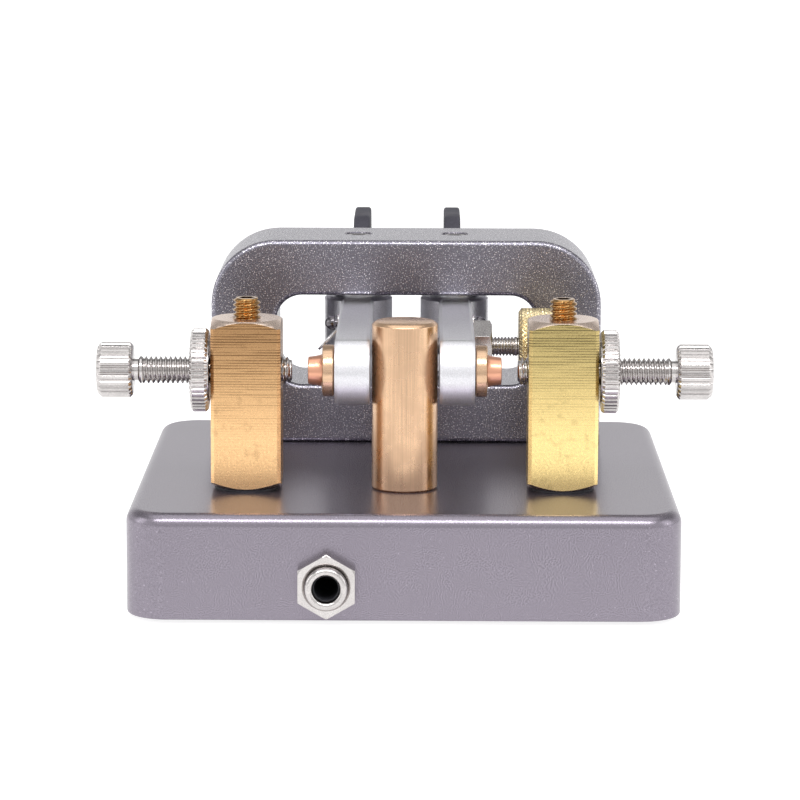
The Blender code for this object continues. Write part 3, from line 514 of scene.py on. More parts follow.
class Recipe:
    """The nodes of one material, added by short calls and read on Object coordinates."""

    def __init__(self, name: str) -> None:
        """Start a material with a Principled shader.

        Args:
            name: The material's name.
        """
        self.material = bpy.data.materials.new(name)
        self.material.use_nodes = True
        self.tree = self.material.node_tree
        self.shader = self.tree.nodes["Principled BSDF"]
        coordinates = self.tree.nodes.new("ShaderNodeTexCoord").outputs
        self.places, self.normals = coordinates["Object"], coordinates["Normal"]

    def add(self, kind: str, links: dict | None = None, values: dict | None = None) -> bpy.types.Node:
        """A node with its inputs linked to sockets or set to values.

        Args:
            kind: The node's type.
            links: Output sockets by input name.
            values: Plain values by input name.

        Returns:
            The new node.
        """
        node = self.tree.nodes.new(kind)
        for key, socket in (links or {}).items():
            self.tree.links.new(socket, node.inputs[key])
        for key, value in (values or {}).items():
            node.inputs[key].default_value = value
        return node

    def noise(
        self, grain: float, stretch: Triple = (1, 1, 1), detail: float = 2.0, shift: Triple = (0, 0, 0)
    ) -> bpy.types.NodeSocket:
        """Soft noise.

        Args:
            grain: Width of a feature, in metres.
            stretch: How far features are drawn out along each axis.
            detail: Octaves of finer noise.
            shift: Moves the pattern, so that two of one grain differ.

        Returns:
            A value from 0 to 1.
        """
        scale = [1 / (grain * each) for each in stretch]
        mapping = self.add("ShaderNodeMapping", {"Vector": self.places}, {"Scale": scale, "Location": shift})
        made = self.add(
            "ShaderNodeTexNoise", {"Vector": mapping.outputs["Vector"]}, {"Scale": 1.0, "Detail": detail}
        )
        return made.outputs["Fac"]

    def height(self, axis: str, low: float, high: float) -> bpy.types.NodeSocket:
        """Zero to one as a coordinate goes from low to high."""
        parts = self.add("ShaderNodeSeparateXYZ", {"Vector": self.places})
        return self.spread(parts.outputs[axis], low, high)

    def slanting(self) -> bpy.types.NodeSocket:
        """One on faces that look up or down, zero on upright ones."""
        parts = self.add("ShaderNodeSeparateXYZ", {"Vector": self.normals})
        square = self.product(parts.outputs["Z"], parts.outputs["Z"])
        return self.spread(square, 0.1, 0.5)

    def ridges(self, axis: str, pitch: float, wander: float) -> bpy.types.NodeSocket:
        """Even waves along one axis, bent a little by slow noise.

        Args:
            axis: X, Y or Z.
            pitch: From crest to crest, in metres.
            wander: Strength of the bending.

        Returns:
            A value from 0 to 1.
        """
        mapping = self.add("ShaderNodeMapping", {"Vector": self.places}, {"Scale": (1 / pitch,) * 3})
        values = {"Scale": TURN / 20, "Distortion": wander, "Detail": 1.0, "Detail Scale": 0.15}
        wave = self.add("ShaderNodeTexWave", {"Vector": mapping.outputs["Vector"]}, values)
        wave.bands_direction = axis
        return wave.outputs["Fac"]

    def spread(
        self, value: bpy.types.NodeSocket, low: float, high: float, start: float = 0.0, stop: float = 1.0
    ) -> bpy.types.NodeSocket:
        """Stretch a value between low and high to start and stop, and clamp it there."""
        values = {"From Min": low, "From Max": high, "To Min": start, "To Max": stop}
        return self.add("ShaderNodeMapRange", {"Value": value}, values).outputs["Result"]

    def blend(
        self,
        factor: bpy.types.NodeSocket,
        first: bpy.types.NodeSocket | Triple,
        second: bpy.types.NodeSocket | Triple,
    ) -> bpy.types.NodeSocket:
        """Mix two colours.

        Args:
            factor: Share of the second colour.
            first: A socket or an RGB triple.
            second: A socket or an RGB triple.

        Returns:
            The mixed colour.
        """
        node = self.tree.nodes.new("ShaderNodeMix")
        node.data_type = "RGBA"
        self.tree.links.new(factor, node.inputs["Factor"])
        for socket, colour in zip((node.inputs[6], node.inputs[7]), (first, second)):
            if isinstance(colour, tuple):
                socket.default_value = (*colour, 1.0)
            else:
                self.tree.links.new(colour, socket)
        return node.outputs[2]

    def product(self, first: bpy.types.NodeSocket, second: bpy.types.NodeSocket) -> bpy.types.NodeSocket:
        """One value times another.

        Args:
            first: A value.
            second: The other.

        Returns:
            Their product.
        """
        node = self.tree.nodes.new("ShaderNodeMath")
        node.operation = "MULTIPLY"
        self.tree.links.new(first, node.inputs[0])
        self.tree.links.new(second, node.inputs[1])
        return node.outputs[0]

    def bump(
        self, height: bpy.types.NodeSocket, distance: float, below: bpy.types.NodeSocket | None = None
    ) -> bpy.types.NodeSocket:
        """A bump in the surface.

        Args:
            height: The relief, from 0 to 1.
            distance: What 1 stands for, in metres.
            below: Another bump that this one lies on.

        Returns:
            The bent normal.
        """
        links = {"Height": height}
        if below is not None:
            links["Normal"] = below
        return self.add("ShaderNodeBump", links, {"Distance": distance}).outputs["Normal"]

    def finish(
        self,
        colour: bpy.types.NodeSocket,
        roughness: bpy.types.NodeSocket,
        normal: bpy.types.NodeSocket,
        metallic: float,
    ) -> bpy.types.Material:
        """Join the sockets made so far to the shader.

        Args:
            colour: Base colour.
            roughness: Roughness.
            normal: The bent normal.
            metallic: Metallic share, the same all over.

        Returns:
            The finished material.
        """
        self.tree.links.new(colour, self.shader.inputs["Base Color"])
        self.tree.links.new(roughness, self.shader.inputs["Roughness"])
        self.tree.links.new(normal, self.shader.inputs["Normal"])
        self.shader.inputs["Metallic"].default_value = metallic
        return self.material


@dataclass(frozen=True)
class Finish:
    """A surface finish: its name, the record's slot that it shows, and its main colour."""

    name: str
    slot: str
    colour: Triple
    roughness: float

    def shade(self, factor: float) -> Triple:
        """The main colour made lighter or darker."""
        return tuple(min(1.0, part * factor) for part in self.colour)

    def material(self) -> bpy.types.Material:
        """The finish's material, made on first use."""
        return bpy.data.materials.get(self.name) or self.make()

    def make(self) -> bpy.types.Material:
        """Build the material."""
        raise NotImplementedError


@dataclass(frozen=True)
class Blasted(Finish):
    """Bead-blasted metal, plain or anodised: fine grains and painted glints over soft cloudy patches."""

    grain: float = 0.15 * MM
    contrast: float = 0.2
    # painted glints: sparkle is how bright the glinting specks are, speck their size and rarity how few
    sparkle: float = 2.4
    speck: float = 0.26 * MM
    rarity: float = 0.70
    depth: float = 0.002 * MM
    metallic: float = 0.9

    def make(self) -> bpy.types.Material:
        """Mix dark pits, bright grains and painted glints into the colour, with a bump from the same grains.
        """
        recipe = Recipe(self.name)
        grains = recipe.noise(self.grain, detail=1.0)
        points = recipe.noise(self.speck, detail=0.0, shift=(5, 3, 9))
        clouds = recipe.noise(9 * MM)
        low, high = 1 - self.contrast, 1 + self.contrast
        body = recipe.blend(recipe.spread(grains, 0.32, 0.66), self.shade(low), self.shade(high))
        # painted glints: rare specks far brighter than the colour stand in for light glinting off the grains
        bright = recipe.spread(points, self.rarity, self.rarity + 0.06)
        grain_and_glints = recipe.blend(bright, body, self.shade(self.sparkle))
        colour = recipe.blend(recipe.spread(clouds, 0.3, 0.7, 0.0, 0.15), grain_and_glints, self.shade(0.85))
        rough = recipe.spread(grains, 0.3, 0.7, self.roughness + 0.05, self.roughness - 0.05)
        return recipe.finish(colour, rough, recipe.bump(grains, self.depth), self.metallic)


@dataclass(frozen=True)
class Milled(Finish):
    """Bar stock with cutter lines across it, painted shade on its upper part and a painted reflection on
    faces that look up or down.
    """

    # painted shade: the darker colour that the upper part of the post turns to
    painted_light_tone: Triple = (0.40, 0.22, 0.10)
    # painted reflection: the paler colour of faces that look up or down
    top: Triple = (0.82, 0.66, 0.56)
    lines: float = 0.38 * MM
    depth: float = 0.012 * MM
    tarnish: float = 0.42
    # heights over which the painted shade comes in
    shade_heights: tuple[float, float] = (24 * MM, 38 * MM)

    def make(self) -> bpy.types.Material:
        """Lines in Z drawn out along X and Y, stronger in the upper part, with spots of tarnish, painted
        shade up high and a painted reflection on faces that look up or down.
        """
        recipe = Recipe(self.name)
        wave = recipe.ridges("Z", self.lines, 0.25)
        breaks = recipe.noise(self.lines, stretch=(26, 26, 1.2), detail=2.0, shift=(0, 0, 3))
        lines = recipe.product(wave, recipe.spread(breaks, 0.36, 0.6, 0.25, 1.0))
        fine = recipe.noise(0.3 * MM, detail=3.0)
        spots = recipe.noise(1.6 * MM, detail=4.0)
        upper = recipe.height("Z", *self.shade_heights)
        cut = recipe.spread(lines, 0.25, 0.75)
        deep = recipe.product(cut, recipe.spread(upper, 0.0, 1.0, 0.1, 1.0))
        body = recipe.blend(deep, self.colour, self.shade(self.tarnish))
        grained = recipe.blend(recipe.spread(fine, 0.35, 0.75, 0.0, 0.15), body, self.shade(0.7))
        lower_tone = recipe.blend(recipe.spread(spots, 0.60, 0.72, 0.0, 0.4), grained, self.shade(0.5))
        # painted shade: the upper part turns towards the darker colour
        upper_shade_tone = recipe.blend(recipe.spread(upper, 0.0, 1.0, 0.0, 0.85), lower_tone, self.painted_light_tone)
        # cut lines, darkened further in the upper part as painted shade
        scored_and_shaded = recipe.blend(recipe.product(deep, upper), upper_shade_tone, tuple(0.45 * c for c in self.painted_light_tone))
        # painted reflection: faces that look up or down take the pale colour
        painted_light_tone = recipe.blend(recipe.slanting(), scored_and_shaded, self.top)
        rough = recipe.spread(fine, 0.3, 0.7, self.roughness - 0.05, self.roughness + 0.08)
        normal = recipe.bump(deep, self.depth, recipe.bump(fine, 0.006 * MM))
        return recipe.finish(painted_light_tone, rough, normal, metallic=1.0)


@dataclass(frozen=True)
class Polished(Finish):
    """Turned or plated metal with hairline marks and a little uneven tone."""

    marks: Triple = (1, 1, 1)
    depth: float = 0.004 * MM
    contrast: float = 0.8

    def make(self) -> bpy.types.Material:
        """Hairlines drawn out along the marks' long axis, over soft changes of tone."""
        recipe = Recipe(self.name)
        hairs = recipe.noise(0.12 * MM, stretch=self.marks)
        tone = recipe.noise(2.5 * MM, detail=3.0)
        lined = recipe.blend(recipe.spread(hairs, 0.35, 0.7), self.colour, self.shade(self.contrast))
        colour = recipe.blend(recipe.spread(tone, 0.4, 0.7, 0.0, 0.5), lined, self.shade(self.contrast))
        rough = recipe.spread(tone, 0.3, 0.7, self.roughness - 0.04, self.roughness + 0.06)
        return recipe.finish(colour, rough, recipe.bump(hairs, self.depth), metallic=1.0)


@dataclass(frozen=True)
class Moulded(Finish):
    """Plastic, rubber or insulation with a fine matt grain."""

    grain: float = 0.25 * MM
    depth: float = 0.006 * MM
    gloss: float = 0.5

    def make(self) -> bpy.types.Material:
        """Grain in the bump, with slightly paler high spots."""
        recipe = Recipe(self.name)
        grains = recipe.noise(self.grain, detail=3.0)
        patches = recipe.noise(4 * MM)
        body = recipe.blend(recipe.spread(grains, 0.4, 0.7), self.colour, self.shade(1.35))
        colour = recipe.blend(recipe.spread(patches, 0.4, 0.7, 0.0, 0.4), body, self.shade(0.8))
        rough = recipe.spread(patches, 0.3, 0.7, self.roughness - 0.05, self.roughness + 0.08)
        recipe.shader.inputs["Specular IOR Level"].default_value = self.gloss
        return recipe.finish(colour, rough, recipe.bump(grains, self.depth), metallic=0.0)


@dataclass(frozen=True)
class Finishes:
    """Every finish on the key."""

    base: Finish = Blasted(
        "blasted_base", "base_anodised", (0.242, 0.218, 0.258), 0.28, contrast=0.14, sparkle=1.7, rarity=0.76
    )
    frame: Finish = Blasted(
        "blasted_frame",
        "frame_anodised",
        (0.218, 0.208, 0.246),
        0.28,
        contrast=0.40,
        sparkle=4.6,
        speck=0.18 * MM,
        rarity=0.665,
    )
    arm: Finish = Blasted(
        "blasted_lever", "arm_aluminium", (0.74, 0.735, 0.765), 0.38, contrast=0.10, sparkle=1.15
    )
    paddle: Finish = Moulded("black_paddle", "paddle_black", (0.046, 0.0445, 0.056), 0.6, gloss=0.15)
    left_brass: Finish = Milled("brown_brass", "post_brass", (0.95, 0.60, 0.30), 0.28)
    right_brass: Finish = Milled(
        "yellow_brass",
        "post_brass",
        (1.0, 0.76, 0.33),
        0.26,
        painted_light_tone=(0.48, 0.38, 0.16),
        tarnish=0.80,
        depth=0.004 * MM,
    )
    screw_brass: Finish = Polished("screw_brass", "post_brass", (0.48, 0.28, 0.11), 0.15)
    knob_brass: Finish = Polished("knob_brass", "post_brass", (0.80, 0.66, 0.40), 0.22)
    bronze: Finish = Polished("turned_bronze", "bronze", (0.80, 0.53, 0.34), 0.27, marks=(1, 1, 90))
    disc: Finish = Polished("disc_bronze", "bronze", (0.74, 0.50, 0.33), 0.24, marks=(90, 1, 1))
    copper: Finish = Polished("contact_copper", "contact_copper", (0.52, 0.23, 0.17), 0.20)
    nickel: Finish = Polished("bright_nickel", "nickel", (0.64, 0.61, 0.60), 0.18, contrast=0.72)
    steel: Finish = Polished("dark_steel", "steel", (0.16, 0.15, 0.16), 0.18)
    spring: Finish = Polished("spring_steel", "steel", (0.62, 0.61, 0.60), 0.25)
    socket_screw: Finish = Polished("socket_screw", "nickel", (0.55, 0.53, 0.53), 0.34)
    insulator: Finish = Moulded("insulator", "insulator_black", (0.02, 0.02, 0.026), 0.5)
    silicone: Finish = Moulded("non_slip", "silicone_black", (0.03, 0.03, 0.032), 0.8, grain=0.6 * MM)
    red: Finish = Moulded("red_insulation", "wire_red", (0.45, 0.03, 0.03), 0.5)
    white: Finish = Moulded("white_insulation", "wire_white", (0.7, 0.7, 0.68), 0.5)
    black: Finish = Moulded("black_insulation", "wire_black", (0.03, 0.03, 0.03), 0.5)


FINISH = Finishes()


def shaded(piece: bpy.types.Object, finish: Finish) -> None:
    """Give a piece its finish, smooth round sides and crisp edges.

    Args:
        piece: The piece.
        finish: The finish that it takes.
    """
    mesh = piece.data
    mesh.materials.clear()
    mesh.materials.append(finish.material())
    mesh.shade_smooth()
    mesh.set_sharp_from_angle(angle=SMOOTH_ANGLE)
    even = piece.modifiers.new("even_shading", "WEIGHTED_NORMAL")
    even.keep_sharp = True
    even.weight = 60


def mounted(piece: bpy.types.Object, finish: Finish, body: str, *nodes: str) -> None:
    """Finish a piece, let it ride on a body and let it stand for CAD nodes.

    Args:
        piece: The piece.
        finish: The finish that it takes.
        body: The body that carries it.
        nodes: The CAD nodes that it replaces, if any.
    """
    shaded(piece, finish)
    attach(piece, body)
    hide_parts(*nodes)
    LOG.info("%s rides on %s", piece.name, body)


def kept(node: str, finish: Finish) -> None:
    """Keep a CAD node's own shape and give it a finish."""
    piece = frame["nodes"][node]
    for place in piece.material_slots:
        place.material = finish.material()
    LOG.info("%s keeps its shape", node)


# ---------------------------------------------------------- sub-assemblies

X_AXIS, Y_AXIS, Z_AXIS = (1.0, 0.0, 0.0), (0.0, 1.0, 0.0), (0.0, 0.0, 1.0)
DOWN: Triple = (0.0, 0.0, -1.0)
BACK: Triple = (0.0, -1.0, 0.0)


def base_top() -> float:
    """Height of the base's top face."""
    return float(Box.of("base").high[2])


def upright(x: float, y: float, z: float) -> Station:
    """A station whose heights run up."""
    return Station((x, y, z), Z_AXIS, X_AXIS)


def downright(x: float, y: float, z: float) -> Station:
    """A station whose heights run down."""
    return Station((x, y, z), DOWN, X_AXIS)


def outward(side: Side, x: float, y: float, z: float) -> Station:
    """A station whose heights run away from the key's middle plane."""
    return Station((x, y, z), (float(side.value), 0.0, 0.0), Z_AXIS)


def inward(side: Side, x: float, y: float, z: float) -> Station:
    """A station whose heights run towards the key's middle plane."""
    return Station((x, y, z), (-float(side.value), 0.0, 0.0), Z_AXIS)


@dataclass
class BaseAssembly:
    """The milled base with its non-slip sheet, cable socket and hidden wiring."""

    corner: float = 6.0 * MM
    top_round: float = 1.8 * MM
    foot_round: float = 0.35 * MM
    wall: float = 5.0 * MM
    plate: float = 5.0 * MM
    cavity_corner: float = 4.0 * MM
    rebate: float = 2.3 * MM
    nut_rim: float = 0.22 * MM
    nut_slope: float = 0.4
    nut_bore: float = 3.0 * MM
    jack_depth: float = 15.0 * MM
    jack_tail: float = 3.0 * MM
    jack_bore: float = 1.8 * MM
    barrel: float = 2.98 * MM
    shell: float = 3.8 * MM
    lip: float = 0.55 * MM
    liner: float = 0.08 * MM
    post_bore: float = 3.55 * MM
    screw_bore: float = 2.25 * MM
    socket_bore: float = 3.05 * MM

    def build(self) -> None:
        """Make the block and the socket, and dress what the base hides."""
        self.block()
        self.socket()
        kept("non_slip_pad", FINISH.silicone)
        for wire, finish in (("left", FINISH.red), ("right", FINISH.white), ("ground", FINISH.black)):
            kept(f"{wire}_wire", finish)

    def block(self) -> None:
        """The block: rounded squares up the outside, over the filleted edges and down the cavity."""
        box = Box.of("base")
        side = float(box.size[0])
        foot, top = float(box.low[2]), float(box.high[2])
        roof = top - self.plate
        step = float(Box.of("non_slip_pad").high[2]) + 0.3 * MM

        def square(inset: float, radius: float) -> np.ndarray:
            """A rounded square drawn in from the base's outline."""
            return rounded_outline(side - 2 * inset, side - 2 * inset, [radius] * 4, steps=16)

        cavity = square(self.wall, self.cavity_corner)
        rebate = square(self.wall - self.rebate, self.cavity_corner)
        rows = [(cavity, roof), (cavity, step), (rebate, step), (rebate, foot)]
        for inset, rise in fillet(self.foot_round, 3):
            rows.append((square(inset, self.corner - inset), foot + rise))
        for inset, rise in fillet(self.top_round, 12)[::-1]:
            rows.append((square(inset, self.corner - inset), top - rise))
        block = lofted("base_block", upright(0, 0, 0), rows)
        cutters = []
        for name, bore in (("left", self.post_bore), ("right", self.post_bore), ("centre", self.screw_bore)):
            x, y = Box.of(f"{name}_post_bolt").middle[:2]
            cutters.append(hole(downright(x, y, top), bore, self.plate + MM))
        for name in ("left", "right"):
            x, y = Box.of(f"{name}_frame_screw").middle[:2]
            cutters.append(hole(downright(x, y, top), self.screw_bore, self.plate + MM))
        jack = Box.of("jack_nut").middle
        mouth = Station((jack[0], float(box.low[1]), jack[2]), Y_AXIS, X_AXIS)
        cutters.append(hole(mouth, self.socket_bore, self.wall + MM))
        mounted(combined(block, cutters), FINISH.base, "key_base", "base")

    def socket(self) -> None:
        """The hexagon nut and the threaded sleeve with its rounded lip and dark bore."""
        nut_box = Box.of("jack_nut")
        base_y = float(Box.of("base").low[1])
        x, _, z = nut_box.middle
        face = float(nut_box.low[1])
        flats = float(nut_box.size[0])
        front = Station((x, base_y, z), BACK, X_AXIS)
        outline = polygon_outline(6, flats, steps=10)
        rims = (flats, flats / 2 + self.nut_rim)
        nut = crowned_bar("socket_nut", front, outline, base_y - face, rims, self.nut_slope)
        through = Station((x, face, z), Y_AXIS, X_AXIS)
        combined(nut, [hole(through, self.nut_bore, base_y - face + MM, sink=0.35 * MM)])
        break_edges(nut, 0.08 * MM, 22)
        mounted(nut, FINISH.nickel, "key_base", "jack_nut")

        jack = Box.of("jack_body")
        mouth = float(jack.low[1])
        depth, bore, groove = self.jack_depth, self.jack_bore, 0.9 * MM
        shoulder = base_y + self.wall + SEAT - mouth
        total = float(jack.high[1]) - self.jack_tail - mouth
        profile = [
            (depth, 0),
            (depth, bore),
            (groove, bore),
            *arc((self.lip, 2.45 * MM), self.lip, 270, 90, 8),
            (groove, self.barrel),
            (shoulder, self.barrel),
            (shoulder, self.shell),
            (total, self.shell),
            (total, 0),
        ]
        axis = Station((x, mouth, z), Y_AXIS, X_AXIS)
        sleeve = turned("socket_sleeve", axis, profile, sides=64)
        mounted(sleeve, FINISH.nickel, "key_base", "jack_body")
        outside, inside = bore - 0.01 * MM, bore - self.liner
        liner_profile = [
            (depth - 0.1 * MM, 0),
            (depth - 0.1 * MM, outside),
            (MM, outside),
            (MM, inside),
            (depth - 0.3 * MM, inside),
            (depth - 0.3 * MM, 0),
        ]
        liner = turned("socket_liner", axis, liner_profile, sides=48)
        mounted(liner, FINISH.insulator, "key_base")


@dataclass
class ArchFrame:
    """The arch that holds the levers' pivots."""

    corner: float = 10.0 * MM
    edge: float = 0.75 * MM
    window_side: float = 40.0 * MM
    sill: float = 9.0 * MM
    window_rise: float = 13.9 * MM
    window_corner: float = 4.0 * MM
    bore_gap: float = 0.12 * MM
    beyond: float = 0.3 * MM
    steps: int = 14

    def build(self) -> None:
        """Make the arch and its set screws, and dress the screws from below."""
        self.arch()
        for side in Side:
            self.set_screw(side)
            kept(f"{side.word}_lower_pivot", FINISH.steel)
            kept(f"{side.word}_frame_screw", FINISH.steel)

    def arch(self) -> None:
        """One closed band: outer outline, front face, window and rear face, with rounded edges."""
        box = Box.of("frame")
        foot = base_top() + SEAT
        rear, front = float(box.high[1]), float(box.low[1])
        top = float(box.high[2])
        width, rise = float(box.size[0]), top - foot
        window_middle = base_top() + self.sill + self.window_rise / 2
        drop = window_middle - (top + foot) / 2

        def outer(inset: float) -> np.ndarray:
            """The arch's outline, drawn in."""
            return rounded_outline(width, rise, [self.corner] * 2 + [0.0] * 2, self.steps, inset)

        def window(inset: float) -> np.ndarray:
            """The window's outline, drawn out of the arch's face."""
            corners = [self.window_corner] * 4
            line = rounded_outline(self.window_side, self.window_rise, corners, self.steps, -inset)
            return line + np.array([0.0, drop])

        depth = rear - front
        curve = fillet(self.edge, 8)
        rows = slab(outer, depth, curve) + slab(window, depth, curve)[::-1]
        middle = Station((0.0, front, (top + foot) / 2), Y_AXIS, X_AXIS)
        arch = solid("arch_frame", middle.place(stacked(rows) * (1, -1, 1)), loop=True)
        cutters = []
        for side in Side:
            pivot = Box.of(f"{side.word}_upper_pivot").middle
            bar = top - window_middle - self.window_rise / 2
            bore = float(Box.of(f"{side.word}_upper_pivot").size[0]) / 2 + self.bore_gap
            cutters.append(hole(downright(pivot[0], pivot[1], top), bore, bar + MM, sink=0.15 * MM))
            low = Box.of(f"{side.word}_lower_pivot")
            sill = base_top() + self.sill
            depth = sill - float(low.low[2]) + self.beyond
            cutters.append(hole(downright(pivot[0], pivot[1], sill), bore, depth))
            screw = Box.of(f"{side.word}_frame_screw")
            spot = upright(screw.middle[0], screw.middle[1], foot)
            cutters.append(hole(spot, bore, float(screw.high[2]) - foot + self.beyond))
        mounted(combined(arch, cutters), FINISH.frame, "key_base", "frame")

    def set_screw(self, side: Side) -> None:
        """A set screw with a hexagon socket, its pin running in the lever's upper bearing.

        Args:
            side: The lever that it carries.
        """
        node = f"{side.word}_upper_pivot"
        box = Box.of(node)
        x, y = box.middle[:2]
        length = float(box.size[2])
        body = float(box.size[0]) / 2
        pin, reach = 1.0 * MM, 2.6 * MM
        profile = [
            (0, 0),
            (0, body - 0.3 * MM),
            (0.3 * MM, body),
            (length - reach, body),
            (length - reach, pin),
            (length - pin / 2, pin),
            (length, pin / 2),
            (length, 0),
        ]
        relief = thread_relief(M4_PITCH, 0.38 * MM, 0.3 * MM, length - reach)
        top = downright(x, y, float(box.high[2]))
        screw = turned(f"{side.word}_pivot_screw", top, even_rows(profile, 0.1 * MM), 32, relief)
        combined(screw, [hex_hole(top, HEXAGON_KEY, HEXAGON_KEY)])
        mounted(screw, FINISH.socket_screw, "key_base", node)


@dataclass
class Lever:
    """One lever: arm, contact, connection tag, and finger paddle."""

    side: Side
    chamfer: float = 0.45 * MM
    tongue: float = 2.6 * MM
    tongue_rise: float = 8.0 * MM
    hub: float = 5.3 * MM
    pocket: float = 3.2 * MM
    pocket_depth: float = 3.1 * MM
    thickness: float = 5.0 * MM
    hub_to_face: float = 2.55 * MM
    swell: float = 0.08
    stud: float = 1.5 * MM
    stud_depth: float = 3.8 * MM
    rivet_neck: float = 0.6 * MM
    rivet_head: float = 1.15 * MM
    rivet_dome: float = 1.45 * MM
    tag_thickness: float = 0.35 * MM
    paddle_round: float = 0.45 * MM
    bolt_shank: float = 1.2 * MM
    paddle_corner: float = 5.0 * MM

    @property
    def body(self) -> str:
        """The body that the lever's pieces ride on."""
        return f"{self.side.word}_lever"

    @property
    def row_y(self) -> float:
        """Y of the contact, which the arm's round end is centred on."""
        return float(Box.of(f"{self.side.word}_contact_tip").middle[1])

    @property
    def axis_z(self) -> float:
        """Height of the lever's middle."""
        return float(Box.of(f"{self.side.word}_contact_tip").middle[2])

    def build(self) -> None:
        """Make every piece of the lever."""
        self.arm()
        self.contact()
        self.tag()
        self.rivet()
        self.paddle()
        for number in (1, 2):
            self.paddle_screw(number)
        for end in ("upper", "lower"):
            kept(f"{self.side.word}_{end}_bearing", FINISH.bronze)

    def arm(self) -> None:
        """Beam with a round end, joined to a turned hub and a flat tongue, then drilled."""
        word, side = self.side.word, self.side
        pivot = Box.of(f"{word}_upper_bearing").middle
        box = Box.of(f"{word}_arm")
        half = self.row_y - float(box.low[1])
        outer_x = pivot[0] + side.value * self.hub_to_face
        inner_x = outer_x - side.value * self.thickness

        def beam(inset: float) -> np.ndarray:
            """The beam's side view: straight from the pivot, then round about the contact.

            The chamfer is full along the straight sides and a third of that round the end.

            Args:
                inset: How far the view is drawn in.

            Returns:
                Points as (point, yz), with z from the lever's middle.
            """
            straight, bend = half - inset, half - inset * 0.3
            swell = half * self.swell
            middle = self.row_y + swell
            lean = math.degrees(math.acos(half / (half + swell)))
            end = arc((middle, 0.0), bend + swell, 90 + lean, 270 - lean, 28)
            near, far = middle + 0.1 * MM, pivot[1]
            sides = [[near, -straight], [far, -straight], [far, straight], [near, straight]]
            return np.concatenate([end, np.array(sides)])

        thick = abs(outer_x - inner_x)
        soft = 0.06 * MM
        edge = [(self.chamfer, 0.0), (soft, self.chamfer - soft), (0.0, self.chamfer + soft)]
        local = stacked(slab(beam, thick, edge))
        points = np.stack(
            [inner_x + side.value * local[..., 2], local[..., 0], self.axis_z + local[..., 1]], -1
        )
        arm = solid(f"{word}_lever_arm", points)
        low, high = float(box.low[2]), float(box.high[2])
        cham = self.chamfer
        boss, step = self.pocket + 0.6 * MM, high - self.axis_z - half
        hub_profile = [
            (0, 0),
            (0, boss),
            (step, boss),
            (step, self.hub - cham),
            (step + cham, self.hub),
            (high - low - step - cham, self.hub),
            (high - low - step, self.hub - cham),
            (high - low - step, boss),
            (high - low, boss),
            (high - low, 0),
        ]
        hub = turned("hub", upright(pivot[0], pivot[1], low), hub_profile, sides=96)
        tongue = self.tongue_piece(pivot, float(box.high[1]))
        combined(arm, [hub, tongue], "UNION")
        seat = outward(side, outer_x, self.row_y, self.axis_z)
        rivet = Box.of(f"{word}_tag_rivet").middle
        cutters = [
            hole(downright(pivot[0], pivot[1], high), self.pocket, self.pocket_depth, sink=0.2 * MM),
            hole(upright(pivot[0], pivot[1], low), self.pocket, self.pocket_depth, sink=0.2 * MM),
            hole(inward(side, *seat.point), self.stud + 0.03 * MM, self.stud_depth),
            hole(inward(side, outer_x, rivet[1], rivet[2]), 0.65 * MM, 2.7 * MM),
        ]
        if side is Side.RIGHT:
            screw = Box.of("tension_screw").middle
            cutters.append(hole(inward(side, outer_x, screw[1], screw[2]), 1.65 * MM, 6 * MM))
        else:
            pin = Box.of("spring_anchor_pin")
            x, y = pin.middle[:2]
            mouth = Station((inner_x, y, self.axis_z), (-1.0, 0.0, 0.0), Z_AXIS)
            cutters.append(hole(mouth, 2.1 * MM, 4.0 * MM, sink=0.2 * MM))
            cutters.append(hole(upright(x, y, self.axis_z - half), 0.7 * MM, 7.4 * MM))
        mounted(combined(arm, cutters), FINISH.arm, self.body, f"{word}_arm")

    def tongue_piece(self, pivot: np.ndarray, front: float) -> bpy.types.Object:
        """The flat tongue: a rounded rectangle along Y and Z, carried across its thickness.

        Args:
            pivot: The lever's pivot.
            front: Y of the tongue's far end.

        Returns:
            The tongue, to be joined to the hub.
        """
        paddle = Box.of(f"{self.side.word}_paddle")
        outer_x = paddle.inner(self.side) - self.side.value * SEAT
        rear = pivot[1] - 1.3 * MM
        length = front - rear
        round_edge = fillet(0.25 * MM, 2)
        sizes = (length, self.tongue_rise, [2 * MM] * 4, 6)
        local = stacked(slab(lambda inset: rounded_outline(*sizes, inset), self.tongue, round_edge))
        middle = (front + rear) / 2
        x = outer_x - self.side.value * local[..., 2]
        points = np.stack([x, middle + local[..., 0], self.axis_z + local[..., 1]], -1)
        return solid("tongue", points)

    def contact(self) -> None:
        """The chamfered disc on its stud, and the copper tip with its hollow flank."""
        word, side = self.side.word, self.side
        disc = Box.of(f"{word}_contact_disc")
        radius = float(disc.size[2]) / 2
        stud_x, face_x = disc.inner(side), disc.outer(side)
        seat_x = face_x - side.value * 1.78 * MM
        seat, face = abs(seat_x - stud_x), abs(face_x - stud_x)
        profile = [
            (0, 0),
            (0, self.stud),
            (seat, self.stud),
            (seat, radius - 0.45 * MM),
            (seat + 0.12 * MM, radius - 0.12 * MM),
            (seat + 0.22 * MM, radius - 0.02 * MM),
            (seat + 0.3 * MM, radius),
            (face - 0.22 * MM, radius),
            (face - 0.12 * MM, radius - 0.04 * MM),
            (face - 0.02 * MM, radius - 0.2 * MM),
            (face, radius - 0.35 * MM),
            (face, 0),
        ]
        piece = turned(f"{word}_disc", outward(side, stud_x, self.row_y, self.axis_z), profile, 80)
        mounted(piece, FINISH.disc, self.body, f"{word}_contact_disc")

